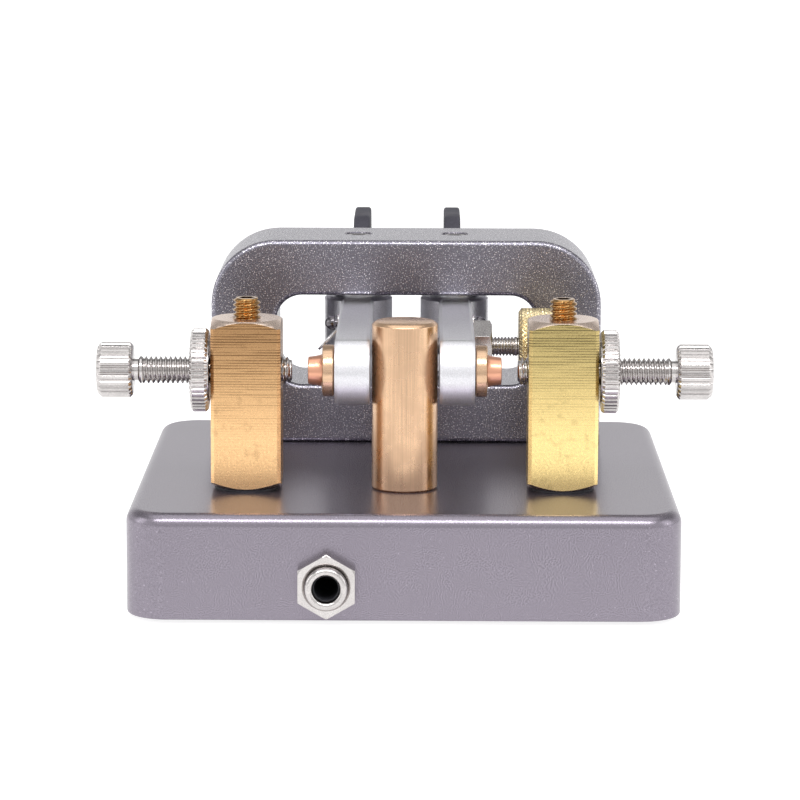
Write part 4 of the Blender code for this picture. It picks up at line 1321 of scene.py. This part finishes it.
        tip = Box.of(f"{word}_contact_tip")
        start = face_x + side.value * 0.01 * MM
        length = abs(tip.outer(side) - start)
        along = np.linspace(0, 1, 13)
        rim = float(tip.size[2]) / 2
        face = rim - 0.42 * MM
        flank = face + (rim - face) * (0.62 * (1 - along) + 0.38 * (1 - along) ** 5)
        bead = [(length * at, r) for at, r in zip(along[:-1] * 0.94, flank[:-1])]
        tip_profile = [
            (0, 0),
            *bead,
            (length * 0.95, face),
            (length * 0.99, face - 0.08 * MM),
            (length, face - 0.2 * MM),
            (length, 0),
        ]
        piece = turned(f"{word}_tip", outward(side, start, self.row_y, self.axis_z), tip_profile, 64)
        mounted(piece, FINISH.copper, self.body, f"{word}_contact_tip")

    def tag(self) -> None:
        """The connection tag: a strip that bends off the arm's face and widens into a leaf.

        The strip's line is straight down the arm and then slants outward, with its thickness
        taken square to the line and its width across Y.
        """
        word, side = self.side.word, self.side
        box = Box.of(f"{word}_contact_tag")
        thick = self.tag_thickness
        inner_x = box.inner(side)
        y = float(box.middle[1])
        foot, top = float(box.low[2]), float(box.high[2])
        reach = abs(box.outer(side) - inner_x) - thick
        bend = top - 2.5 * MM
        at = np.linspace(0, 1, 25)
        slant = smooth_step((at - 0.3) / 0.25)
        x = np.cumsum(slant) / slant.sum() * reach
        z = top - (top - foot) * at
        line = np.column_stack([x, z])
        along = np.gradient(line, axis=0)
        along /= np.linalg.norm(along, axis=1)[:, None]
        square = np.column_stack([-along[:, 1], along[:, 0]])
        half = np.where(z > bend, 1.05, 0.75) * MM
        half = half + 0.35 * MM * np.sin(np.clip(at - 0.55, 0, 1) / 0.45 * math.pi) ** 2
        half = half * np.sqrt(np.clip(1 - ((at - 0.5) / 0.5) ** 8, 0.02, 1))
        far = line + square * thick
        root = inner_x - side.value * 0.28 * MM
        corners = [(line, -1), (line, 1), (far, 1), (far, -1)]
        strips = [
            np.column_stack([root + side.value * edge[:, 0], y + sign * half, edge[:, 1]])
            for edge, sign in corners
        ]
        rings = np.stack(strips, axis=1)
        piece = solid(f"{word}_tag", rings)
        break_edges(piece, 0.08 * MM, 40)
        mounted(piece, FINISH.nickel, self.body, f"{word}_contact_tag")

    def rivet(self) -> None:
        """The tag's rivet with its polished dome."""
        word, side = self.side.word, self.side
        box = Box.of(f"{word}_tag_rivet")
        total = float(box.size[0])
        head, neck, rise = self.rivet_head, self.rivet_neck, self.rivet_dome
        under = total - rise - 0.1 * MM
        dome = [(total - rise + rise * math.sin(a), head * math.cos(a)) for a in np.linspace(0.05, 1.5, 12)]
        profile = [(0, 0), (0, neck), (under, neck), (under, head * 0.9), *dome, (total, 0)]
        piece = turned(f"{word}_rivet", box.line(side), profile, 48)
        mounted(piece, FINISH.steel, self.body, f"{word}_tag_rivet")

    def paddle(self) -> None:
        """The finger plate: a rounded rectangle with softly rounded edges, drilled for two screws."""
        word, side = self.side.word, self.side
        box = Box.of(f"{word}_paddle")
        thick, length, rise = (float(part) for part in box.size)
        curve = fillet(self.paddle_round, 4)
        sizes = (rise, length, [self.paddle_corner] * 4, 12)
        rows = slab(lambda inset: rounded_outline(*sizes, inset), thick, curve)
        plate = lofted(f"{word}_finger_paddle", box.line(side), rows)
        cutters = []
        for number in (1, 2):
            _, screw_y, screw_z = Box.of(f"{word}_paddle_screw_{number}").middle
            mouth = outward(side, box.inner(side), screw_y, screw_z)
            cutters.append(hole(mouth, 1.35 * MM, thick + MM))
        mounted(combined(plate, cutters), FINISH.paddle, self.body, f"{word}_paddle")

    def paddle_screw(self, number: int) -> None:
        """A button-head screw with a hexagon socket.

        Args:
            number: 1 or 2, as the node is numbered.
        """
        node = f"{self.side.word}_paddle_screw_{number}"
        box = Box.of(node)
        _, y, z = box.middle
        total, shank = float(box.size[0]), self.bolt_shank
        head, rise = float(box.size[2]) / 2, 1.85 * MM
        rim, dome = 0.5 * MM, 1.35 * MM
        crown = [
            (total - rise + rim + dome * math.sin(a), head * math.cos(a) ** 0.6)
            for a in np.linspace(0, 1.45, 10)
        ]
        profile = [(0, 0), (0, shank), (total - rise, shank), (total - rise, head), *crown, (total, 0)]
        screw = turned(f"{self.side.word}_paddle_bolt_{number}", box.line(self.side), profile, 48)
        face = inward(self.side, box.outer(self.side), y, z)
        combined(screw, [hex_hole(face, 1.5 * MM, 1.1 * MM)])
        mounted(screw, FINISH.nickel, self.body, node)


@dataclass
class PostRow:
    """The two square posts and the round one, with their insulators and clamp screws."""

    corner: float = 0.5 * MM
    rim: float = 4.8 * MM
    slope: float = 0.52
    bolt_bore: float = 2.1 * MM
    bolt_depth: float = 8.2 * MM
    washer: float = 0.4 * MM
    clamp_thread: float = 0.40 * MM

    def build(self) -> None:
        """Make the posts and dress their hidden fixings."""
        for side, finish in ((Side.LEFT, FINISH.left_brass), (Side.RIGHT, FINISH.right_brass)):
            self.square_post(side, finish)
            self.insulator(side)
            self.clamp_screw(side)
            kept(f"{side.word}_post_bush", FINISH.insulator)
        self.round_post()
        for name in ("left", "right", "centre"):
            kept(f"{name}_post_bolt", FINISH.nickel)
            kept(f"{name}_solder_lug", FINISH.nickel)

    def square_post(self, side: Side, finish: Finish) -> None:
        """A square bar with small corner flats, its ends turned down, and three holes.

        Args:
            side: The post's side.
            finish: Its brass.
        """
        node = f"{side.word}_post"
        box = Box.of(node)
        x, y, _ = box.middle
        width = float(box.size[0])
        foot, top = base_top() + self.washer, float(box.high[2])
        flat = width / 2 - self.corner
        along = np.linspace(-flat, flat, 24)
        edge = np.column_stack([np.full_like(along, width / 2), along])
        turns = np.arange(4) * math.pi / 2
        spin = np.array([[np.cos(turns), np.sin(turns)], [-np.sin(turns), np.cos(turns)]])
        outline = np.concatenate(np.einsum("pi,ijt->tpj", edge, spin))
        name, rims = f"{side.word}_square_post", (self.rim, self.rim)
        post = crowned_bar(name, upright(x, y, foot), outline, top - foot, rims, self.slope)
        screw = Box.of(f"{side.word}_contact_screw").middle
        half = width / 2
        cutters = [
            hole(inward(side, x + side.value * half, y, screw[2]), M4_BORE, width + MM, sink=0.2 * MM),
            hole(downright(x, y, top), M4_BORE, top - screw[2], sink=0.25 * MM),
            hole(upright(x, y, foot), self.bolt_bore, self.bolt_depth),
        ]
        combined(post, cutters)
        break_edges(post, 0.1 * MM, 14)
        mounted(post, finish, "key_base", node)

    def insulator(self, side: Side) -> None:
        """The black washer that keeps the post off the base.

        Args:
            side: The post's side.
        """
        node = f"{side.word}_post_insulator"
        box = Box.of(node)
        x, y, _ = box.middle
        low = base_top() + 0.01 * MM
        radius = float(box.size[0]) / 2
        rise = self.washer - 0.02 * MM
        profile = [(0, 0), (0, radius), (rise - 0.1 * MM, radius), (rise, radius - 0.1 * MM), (rise, 0)]
        piece = turned(f"{side.word}_insulating_washer", upright(x, y, low), profile, 64)
        combined(piece, [hole(upright(x, y, low), self.bolt_bore, rise + MM)])
        mounted(piece, FINISH.insulator, "key_base", node)

    def clamp_screw(self, side: Side) -> None:
        """The threaded set screw that stands out of the post's top.

        Args:
            side: The post's side.
        """
        node = f"{side.word}_clamp_screw"
        box = Box.of(node)
        x, y, _ = box.middle
        radius, length = M4_RADIUS, float(box.size[2])
        profile = [
            (0, 0),
            (0, radius - 0.45 * MM),
            (0.35 * MM, radius),
            (length - 0.4 * MM, radius),
            (length, 0),
        ]
        relief = thread_relief(M4_PITCH, self.clamp_thread, -MM, length)
        top = downright(x, y, float(box.high[2]))
        screw = turned(f"{side.word}_clamp_set_screw", top, even_rows(profile, THREAD_ROWS), 48, relief)
        combined(screw, [hex_hole(top, HEXAGON_KEY, HEXAGON_KEY)])
        mounted(screw, FINISH.screw_brass, "key_base", node)

    def round_post(self) -> None:
        """The turned centre post with its chamfered top."""
        box = Box.of("centre_post")
        x, y, _ = box.middle
        radius = float(box.size[1]) / 2
        low, high = base_top() + SEAT, float(box.high[2])
        rise = high - low
        profile = [
            (0, 0),
            (0, radius - 0.25 * MM),
            (0.25 * MM, radius),
            (rise - 0.55 * MM, radius),
            (rise - 0.45 * MM, radius - 0.04 * MM),
            (rise - 0.06 * MM, radius - 0.48 * MM),
            (rise, radius - 0.62 * MM),
            (rise, 0),
        ]
        post = turned("round_post", upright(x, y, low), profile, 128)
        combined(post, [hole(upright(x, y, low), self.bolt_bore, self.bolt_depth)])
        mounted(post, FINISH.bronze, "key_base", "centre_post")


@dataclass
class ContactScrew:
    """An adjustable contact screw with its ribbed head and its lock wheel."""

    side: Side
    depth: float = 0.42 * MM
    neck: float = 1.0 * MM
    head_radius: float = 4.0 * MM
    head_bore: float = 1.6 * MM
    head_ribs: int = 24
    head_cut: float = 0.22 * MM
    wheel_radius: float = 6.0 * MM
    wheel_bore: float = 2.0 * MM
    wheel_hub: float = 4.42 * MM
    wheel_ribs: int = 44
    wheel_cut: float = 0.26 * MM

    def build(self) -> None:
        """Make the screw, the head and the wheel."""
        self.screw()
        self.head()
        self.wheel()

    def screw(self) -> None:
        """The threaded rod: a turned bar with a helical groove, a point and a relief neck."""
        word, side = self.side.word, self.side
        box = Box.of(f"{word}_contact_screw")
        head = Box.of(f"{word}_contact_knob")
        radius = M4_RADIUS
        total = float(box.size[0])
        thread_end = abs(head.inner(side) - box.inner(side)) - self.neck
        profile = [
            (0, 0),
            (0, radius - 0.65 * MM),
            (0.5 * MM, radius),
            (thread_end, radius),
            (thread_end + 0.25 * MM, radius - 0.4 * MM),
            (total, radius - 0.4 * MM),
            (total, 0),
        ]
        relief = thread_relief(M4_PITCH, self.depth, -MM, thread_end)
        rows = even_rows(profile, THREAD_ROWS)
        piece = turned(f"{word}_contact_rod", box.line(side), rows, 48, relief)
        mounted(piece, FINISH.nickel, f"{word}_contact_rod", f"{word}_contact_screw")

    def head(self) -> None:
        """The head: straight ribs that run out into the chamfers at both ends."""
        word, side = self.side.word, self.side
        box = Box.of(f"{word}_contact_knob")
        radius, length = self.head_radius, float(box.size[0])
        bore = self.head_bore
        bottom = length - 0.8 * MM
        cut = 0.45 * MM
        profile = [
            (bottom, 0),
            (bottom, bore),
            (0, bore),
            (0, radius - cut - 0.15 * MM),
            (0.12 * MM, radius - cut + 0.1 * MM),
            (cut, radius),
            (length - cut - 0.2 * MM, radius),
            (length - 0.15 * MM, radius - cut),
            (length, radius - cut - 0.25 * MM),
            (length, 0),
        ]
        ribs = rib_relief(self.head_ribs, self.head_cut)
        piece = turned(f"{word}_contact_head", box.line(side), profile, self.head_ribs * 10, ribs)
        mounted(piece, FINISH.nickel, f"{word}_contact_head", f"{word}_contact_knob")

    def wheel(self) -> None:
        """The lock wheel: a ribbed rim with a plain shoulder against the post."""
        word, side = self.side.word, self.side
        box = Box.of(f"{word}_lock_wheel")
        radius, length = self.wheel_radius, float(box.size[0])
        shoulder, cut = 0.2 * MM, 0.35 * MM
        bore, hub = self.wheel_bore, self.wheel_hub
        profile = [
            (0, bore + 0.1 * MM),
            (0, hub - 0.07 * MM),
            (0.08 * MM, hub),
            (shoulder, hub),
            (shoulder, radius - cut),
            (shoulder + cut, radius),
            (length - cut, radius),
            (length - 0.05 * MM, radius - cut),
            (length, radius - cut - 0.15 * MM),
            (length, bore + 0.3 * MM),
            (length - 0.25 * MM, bore),
            (0.1 * MM, bore),
        ]
        ribs = rib_relief(self.wheel_ribs, self.wheel_cut)
        sides = self.wheel_ribs * 10
        piece = turned(f"{word}_lock_ring", box.line(side), profile, sides, ribs, loop=True, fade=5.0)
        mounted(piece, FINISH.nickel, f"{word}_lock_ring", f"{word}_lock_wheel")


@dataclass
class TensionAdjuster:
    """The spring between the levers with its screw, knob, nut and anchor pin."""

    pitch: float = 0.5 * MM
    depth: float = 0.3 * MM
    rod: float = 1.47 * MM
    neck: float = 0.2 * MM
    ribs: int = 42
    knurl: float = 0.28 * MM
    knurl_pitch: float = 0.9 * MM
    clearance: float = 0.1 * MM
    coil: float = 1.55 * MM
    wire: float = 0.22 * MM
    turns: int = 14
    turn_steps: int = 20
    wire_sides: int = 10
    hook_share: float = 1 / 12
    bends: tuple[float, float] = (0.4, 0.65)
    rod_rows: float = 0.05 * MM
    knob_rows: float = 0.12 * MM

    def build(self) -> None:
        """Make the adjuster from the anchor pin to the knob."""
        kept("spring_anchor_pin", FINISH.steel)
        self.screw()
        self.knob()
        self.nut()
        self.spring()

    def screw(self) -> None:
        """The fine threaded rod that pulls the spring."""
        box = Box.of("tension_screw")
        radius, total, neck = self.rod, float(box.size[0]), self.neck
        thread_end = float(Box.of("tension_knob").low[0] - box.low[0]) - neck - self.clearance
        profile = [
            (0, 0),
            (0, radius - 0.4 * MM),
            (0.3 * MM, radius),
            (thread_end, radius),
            (thread_end + neck, radius - neck),
            (total, radius - neck),
            (total, 0),
        ]
        relief = thread_relief(self.pitch, self.depth, -MM, thread_end)
        rows = even_rows(profile, self.rod_rows)
        piece = turned("tension_rod", box.line(Side.RIGHT), rows, 36, relief)
        mounted(piece, FINISH.nickel, "tension_rod", "tension_screw")

    def knob(self) -> None:
        """The knob with crossed knurls between two plain chamfers."""
        box = Box.of("tension_knob")
        radius, length = float(box.size[2]) / 2, float(box.size[0])
        floor = float(Box.of("tension_screw").high[0] - box.low[0]) + self.clearance
        bore = self.rod - self.neck + self.clearance
        cut = 0.45 * MM
        profile = [
            (floor, 0),
            (floor, bore),
            (0, bore),
            (0, radius - cut - 0.2 * MM),
            (0.1 * MM, radius - cut),
            (cut, radius),
            (length - cut, radius),
            (length - 0.1 * MM, radius - cut),
            (length, radius - cut - 0.2 * MM),
            (length, 0),
        ]
        knurls = diamond_relief(self.ribs, self.knurl, self.knurl_pitch)
        rows = even_rows(profile, self.knob_rows)
        piece = turned("tension_head", box.line(Side.RIGHT), rows, self.ribs * 8, knurls)
        mounted(piece, FINISH.knob_brass, "tension_head", "tension_knob")

    def nut(self) -> None:
        """The lock nut, crowned on its outer face and threaded on the rod."""
        box = Box.of("tension_lock_nut")
        _, y, z = box.middle
        flats = float(box.size[1])
        seat = float(box.low[0]) - 0.28 * MM
        length = float(box.high[0]) - seat
        outline = polygon_outline(6, flats, steps=8, turn=90)
        rims = (flats / 2 - 0.05 * MM, flats / 2 - 0.05 * MM)
        axis = Station((seat, y, z), X_AXIS, Z_AXIS)
        piece = crowned_bar("tension_nut", axis, outline, length, rims, slope=0.55)
        combined(piece, [hole(axis, 1.55 * MM, length + MM)])
        break_edges(piece, 0.1 * MM, 20)
        mounted(piece, FINISH.nickel, "right_lever", "tension_lock_nut")

    def spring(self) -> None:
        """The coil in three lengths, each listed with the two bodies at its ends.

        The centre line is a helix of radius R, drawn in to hooks at both ends, and the wire is
        a circle about it in the plane of the helix's normal and binormal.
        """
        box = Box.of("tension_spring")
        pin = Box.of("spring_anchor_pin").middle
        _, y, z = box.middle
        start, stop = float(pin[0]), float(Box.of("tension_screw").low[0]) + 0.4 * MM
        left, right = (start + share * (stop - start) for share in self.bends)
        steps = self.turns * self.turn_steps
        at = np.linspace(0, 1, steps + 1)
        angle = at * self.turns * TURN
        radius = self.coil * smooth_step(np.minimum(at, 1 - at) / self.hook_share) + self.wire
        radius = np.minimum(radius, self.coil)
        along = start + (stop - start) * at
        centre = np.column_stack([along, y + radius * np.cos(angle), z + radius * np.sin(angle)])
        tangent = np.gradient(centre, axis=0)
        tangent /= np.linalg.norm(tangent, axis=1)[:, None]
        normal = np.column_stack([np.zeros_like(at), np.cos(angle), np.sin(angle)])
        normal -= tangent * np.sum(normal * tangent, axis=1)[:, None]
        normal /= np.linalg.norm(normal, axis=1)[:, None]
        other = np.cross(tangent, normal)
        round_angle = np.arange(self.wire_sides) * TURN / self.wire_sides
        across = np.cos(round_angle)[None, :, None] * normal[:, None]
        around = np.sin(round_angle)[None, :, None] * other[:, None]
        rings = centre[:, None] + self.wire * (across + around)
        joints = (
            ("left", start, left, "left_lever", "key_base"),
            ("middle", left, right, "key_base", "right_lever"),
            ("right", right, stop, "right_lever", "tension_rod"),
        )
        for name, low, high, first, second in joints:
            first_ring, last_ring = np.searchsorted(centre[:, 0], (low - WELD, high - WELD))
            piece = solid(f"spring_{name}", rings[first_ring : last_ring + 1])
            shaded(piece, FINISH.spring)
            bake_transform(piece)
            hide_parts("tension_spring")
            LOG.info("%s bends between %s and %s", piece.name, first, second)


# ----------------------------------------------------------------- studio


@dataclass(frozen=True)
class Softbox:
    """A rectangular light: where it hangs, what it points at, its sides and its power."""

    name: str
    place: Triple
    target: Triple
    sides: tuple[float, float]
    power: float

    def build(self) -> None:
        """Hang the light."""
        data = bpy.data.lights.new(self.name, "AREA")
        data.shape = "RECTANGLE"
        data.size, data.size_y = self.sides
        data.energy = self.power
        lamp = bpy.data.objects.new(self.name, data)
        bpy.context.scene.collection.objects.link(lamp)
        lamp.location = self.place
        aim = np.array(self.target) - np.array(self.place)
        lamp.rotation_euler = Vector(aim).to_track_quat("-Z", "Y").to_euler()


@dataclass
class Studio:
    """The pale floor, the soft lights and the camera."""

    floor_side: float = 8.0
    eye: Triple = (2.223 * MM, -515.64 * MM, 112.66 * MM)
    lens: float = 157.67
    film: float = 36.0
    pitch: float = 0.167805
    roll: float = -0.0035366
    yaw: float = -0.0058363
    ceiling: float = 0.38
    front_band: tuple[float, float] = (-0.45, -0.05)
    low_band: tuple[float, float] = (0.28, 0.50)
    floor_drop: float = 0.02 * MM
    # painted pool of light on the floor: where its colour and glow fall off, and their values
    floor_fade: tuple[float, float] = (-0.40, -0.14)
    floor_glow: tuple[float, float] = (0.05, 0.84)
    far_floor: Triple = (0.12, 0.12, 0.12)
    near_floor: Triple = (0.40, 0.40, 0.40)
    lights: Sequence[Softbox] = field(
        default_factory=lambda: (
            Softbox("key_light", (0.0, -0.50, 0.65), (0, 0, 0.02), (0.9, 0.20), 4.4),
            Softbox("overhead", (0.0, 0.0, 0.8), (0, 0, 0.02), (1.0, 0.5), 1.6),
            Softbox("left_fill", (-0.8, -0.1, 0.35), (0, 0, 0.02), (0.4, 0.5), 1.0),
            Softbox("right_fill", (0.8, -0.1, 0.35), (0, 0, 0.02), (0.4, 0.5), 1.0),
        )
    )

    def build(self) -> None:
        """Set up everything round the key."""
        bpy.context.scene.view_settings.view_transform = "Standard"
        self.floor()
        self.sky()
        for light in self.lights:
            light.build()
        self.camera()

    def floor(self) -> None:
        """A wide flat sheet with a painted pool of light: its colour and glow fall off towards the room in
        front of the key.
        """
        half = self.floor_side / 2
        lines = np.linspace(-half, half, 17)
        across, up = np.meshgrid(lines, lines)
        points = np.stack([across, up, np.full_like(across, -self.floor_drop)], -1).reshape(-1, 3)
        index = np.arange(points.shape[0]).reshape(across.shape)
        quads = np.stack([index[:-1, :-1], index[:-1, 1:], index[1:, 1:], index[1:, :-1]], -1)
        mesh = bpy.data.meshes.new("floor")
        mesh.from_pydata(points, [], quads.reshape(-1, 4).tolist())
        sheet = bpy.data.objects.new("floor", mesh)
        bpy.context.scene.collection.objects.link(sheet)
        recipe = Recipe("pale_floor")
        # painted pool of light: the floor's colour and glow are highest near the key and fall off towards
        # the front
        near = recipe.height("Y", *self.floor_fade)
        fibres = recipe.noise(2 * MM)
        pale = recipe.blend(near, self.far_floor, self.near_floor)
        glow = recipe.spread(near, 0.0, 1.0, *self.floor_glow)
        recipe.tree.links.new(glow, recipe.shader.inputs["Emission Strength"])
        recipe.shader.inputs["Emission Color"].default_value = (1.0, 1.0, 1.0, 1.0)
        rough = recipe.spread(fibres, 0.3, 0.7, 0.7, 0.8)
        mesh.materials.append(recipe.finish(pale, rough, recipe.bump(fibres, 0.01 * MM), metallic=0.0))

    def sky(self) -> None:
        """White light from low down and from the front, dimmer from the ceiling behind the key."""
        world = bpy.data.worlds.new("studio_world")
        world.use_nodes = True
        bpy.context.scene.world = world
        tree = world.node_tree
        place = tree.nodes.new("ShaderNodeTexCoord").outputs["Generated"]
        parts = tree.nodes.new("ShaderNodeSeparateXYZ")
        tree.links.new(place, parts.inputs[0])
        shares = []
        for axis, (bright, dark) in (("Y", self.front_band), ("Z", self.low_band)):
            share = tree.nodes.new("ShaderNodeMapRange")
            tree.links.new(parts.outputs[axis], share.inputs["Value"])
            for key, value in {"From Min": bright, "From Max": dark, "To Min": 1.0, "To Max": 0.0}.items():
                share.inputs[key].default_value = value
            shares.append(share.outputs["Result"])
        larger = tree.nodes.new("ShaderNodeMath")
        larger.operation = "MAXIMUM"
        for socket, share in zip(larger.inputs, shares):
            tree.links.new(share, socket)
        strength = tree.nodes.new("ShaderNodeMapRange")
        tree.links.new(larger.outputs[0], strength.inputs["Value"])
        strength.inputs["To Min"].default_value = self.ceiling
        tree.links.new(strength.outputs["Result"], tree.nodes["Background"].inputs["Strength"])
        tree.nodes["Background"].inputs["Color"].default_value = (1.0, 1.0, 1.0, 1.0)

    def camera(self) -> None:
        """A long lens in front of the socket side, a little above the key and looking down.

        The view direction is (sin yaw, cos yaw, 0) tilted down by the pitch, and the picture's
        right and up are then rolled about it.
        """
        flat = np.array([math.sin(self.yaw), math.cos(self.yaw), 0.0])
        right = np.array([math.cos(self.yaw), -math.sin(self.yaw), 0.0])
        up = np.array([0.0, 0.0, 1.0])
        ahead = flat * math.cos(self.pitch) - up * math.sin(self.pitch)
        down = -(up * math.cos(self.pitch) + flat * math.sin(self.pitch))
        across = right * math.cos(self.roll) + down * math.sin(self.roll)
        below = down * math.cos(self.roll) - right * math.sin(self.roll)
        data = bpy.data.cameras.new("camera")
        data.sensor_width = self.film
        data.lens = self.lens
        data.clip_start = 0.01
        eye = bpy.data.objects.new("camera", data)
        bpy.context.scene.collection.objects.link(eye)
        matrix = np.eye(4)
        matrix[:3, :4] = np.column_stack([across, -below, -ahead, self.eye])
        eye.matrix_world = Matrix(matrix.tolist())
        bpy.context.scene.camera = eye


def main() -> None:
    """Build the key from the base up, then the studio round it."""
    logging.basicConfig(level=logging.INFO, format="%(name)s: %(message)s")
    assemblies = [BaseAssembly(), ArchFrame(), PostRow(), TensionAdjuster()]
    assemblies += [Lever(side) for side in Side]
    assemblies += [ContactScrew(side) for side in Side]
    for assembly in assemblies:
        assembly.build()
        LOG.info("%s is built", type(assembly).__name__)
    Studio().build()


if __name__ == "__main__":
    main()
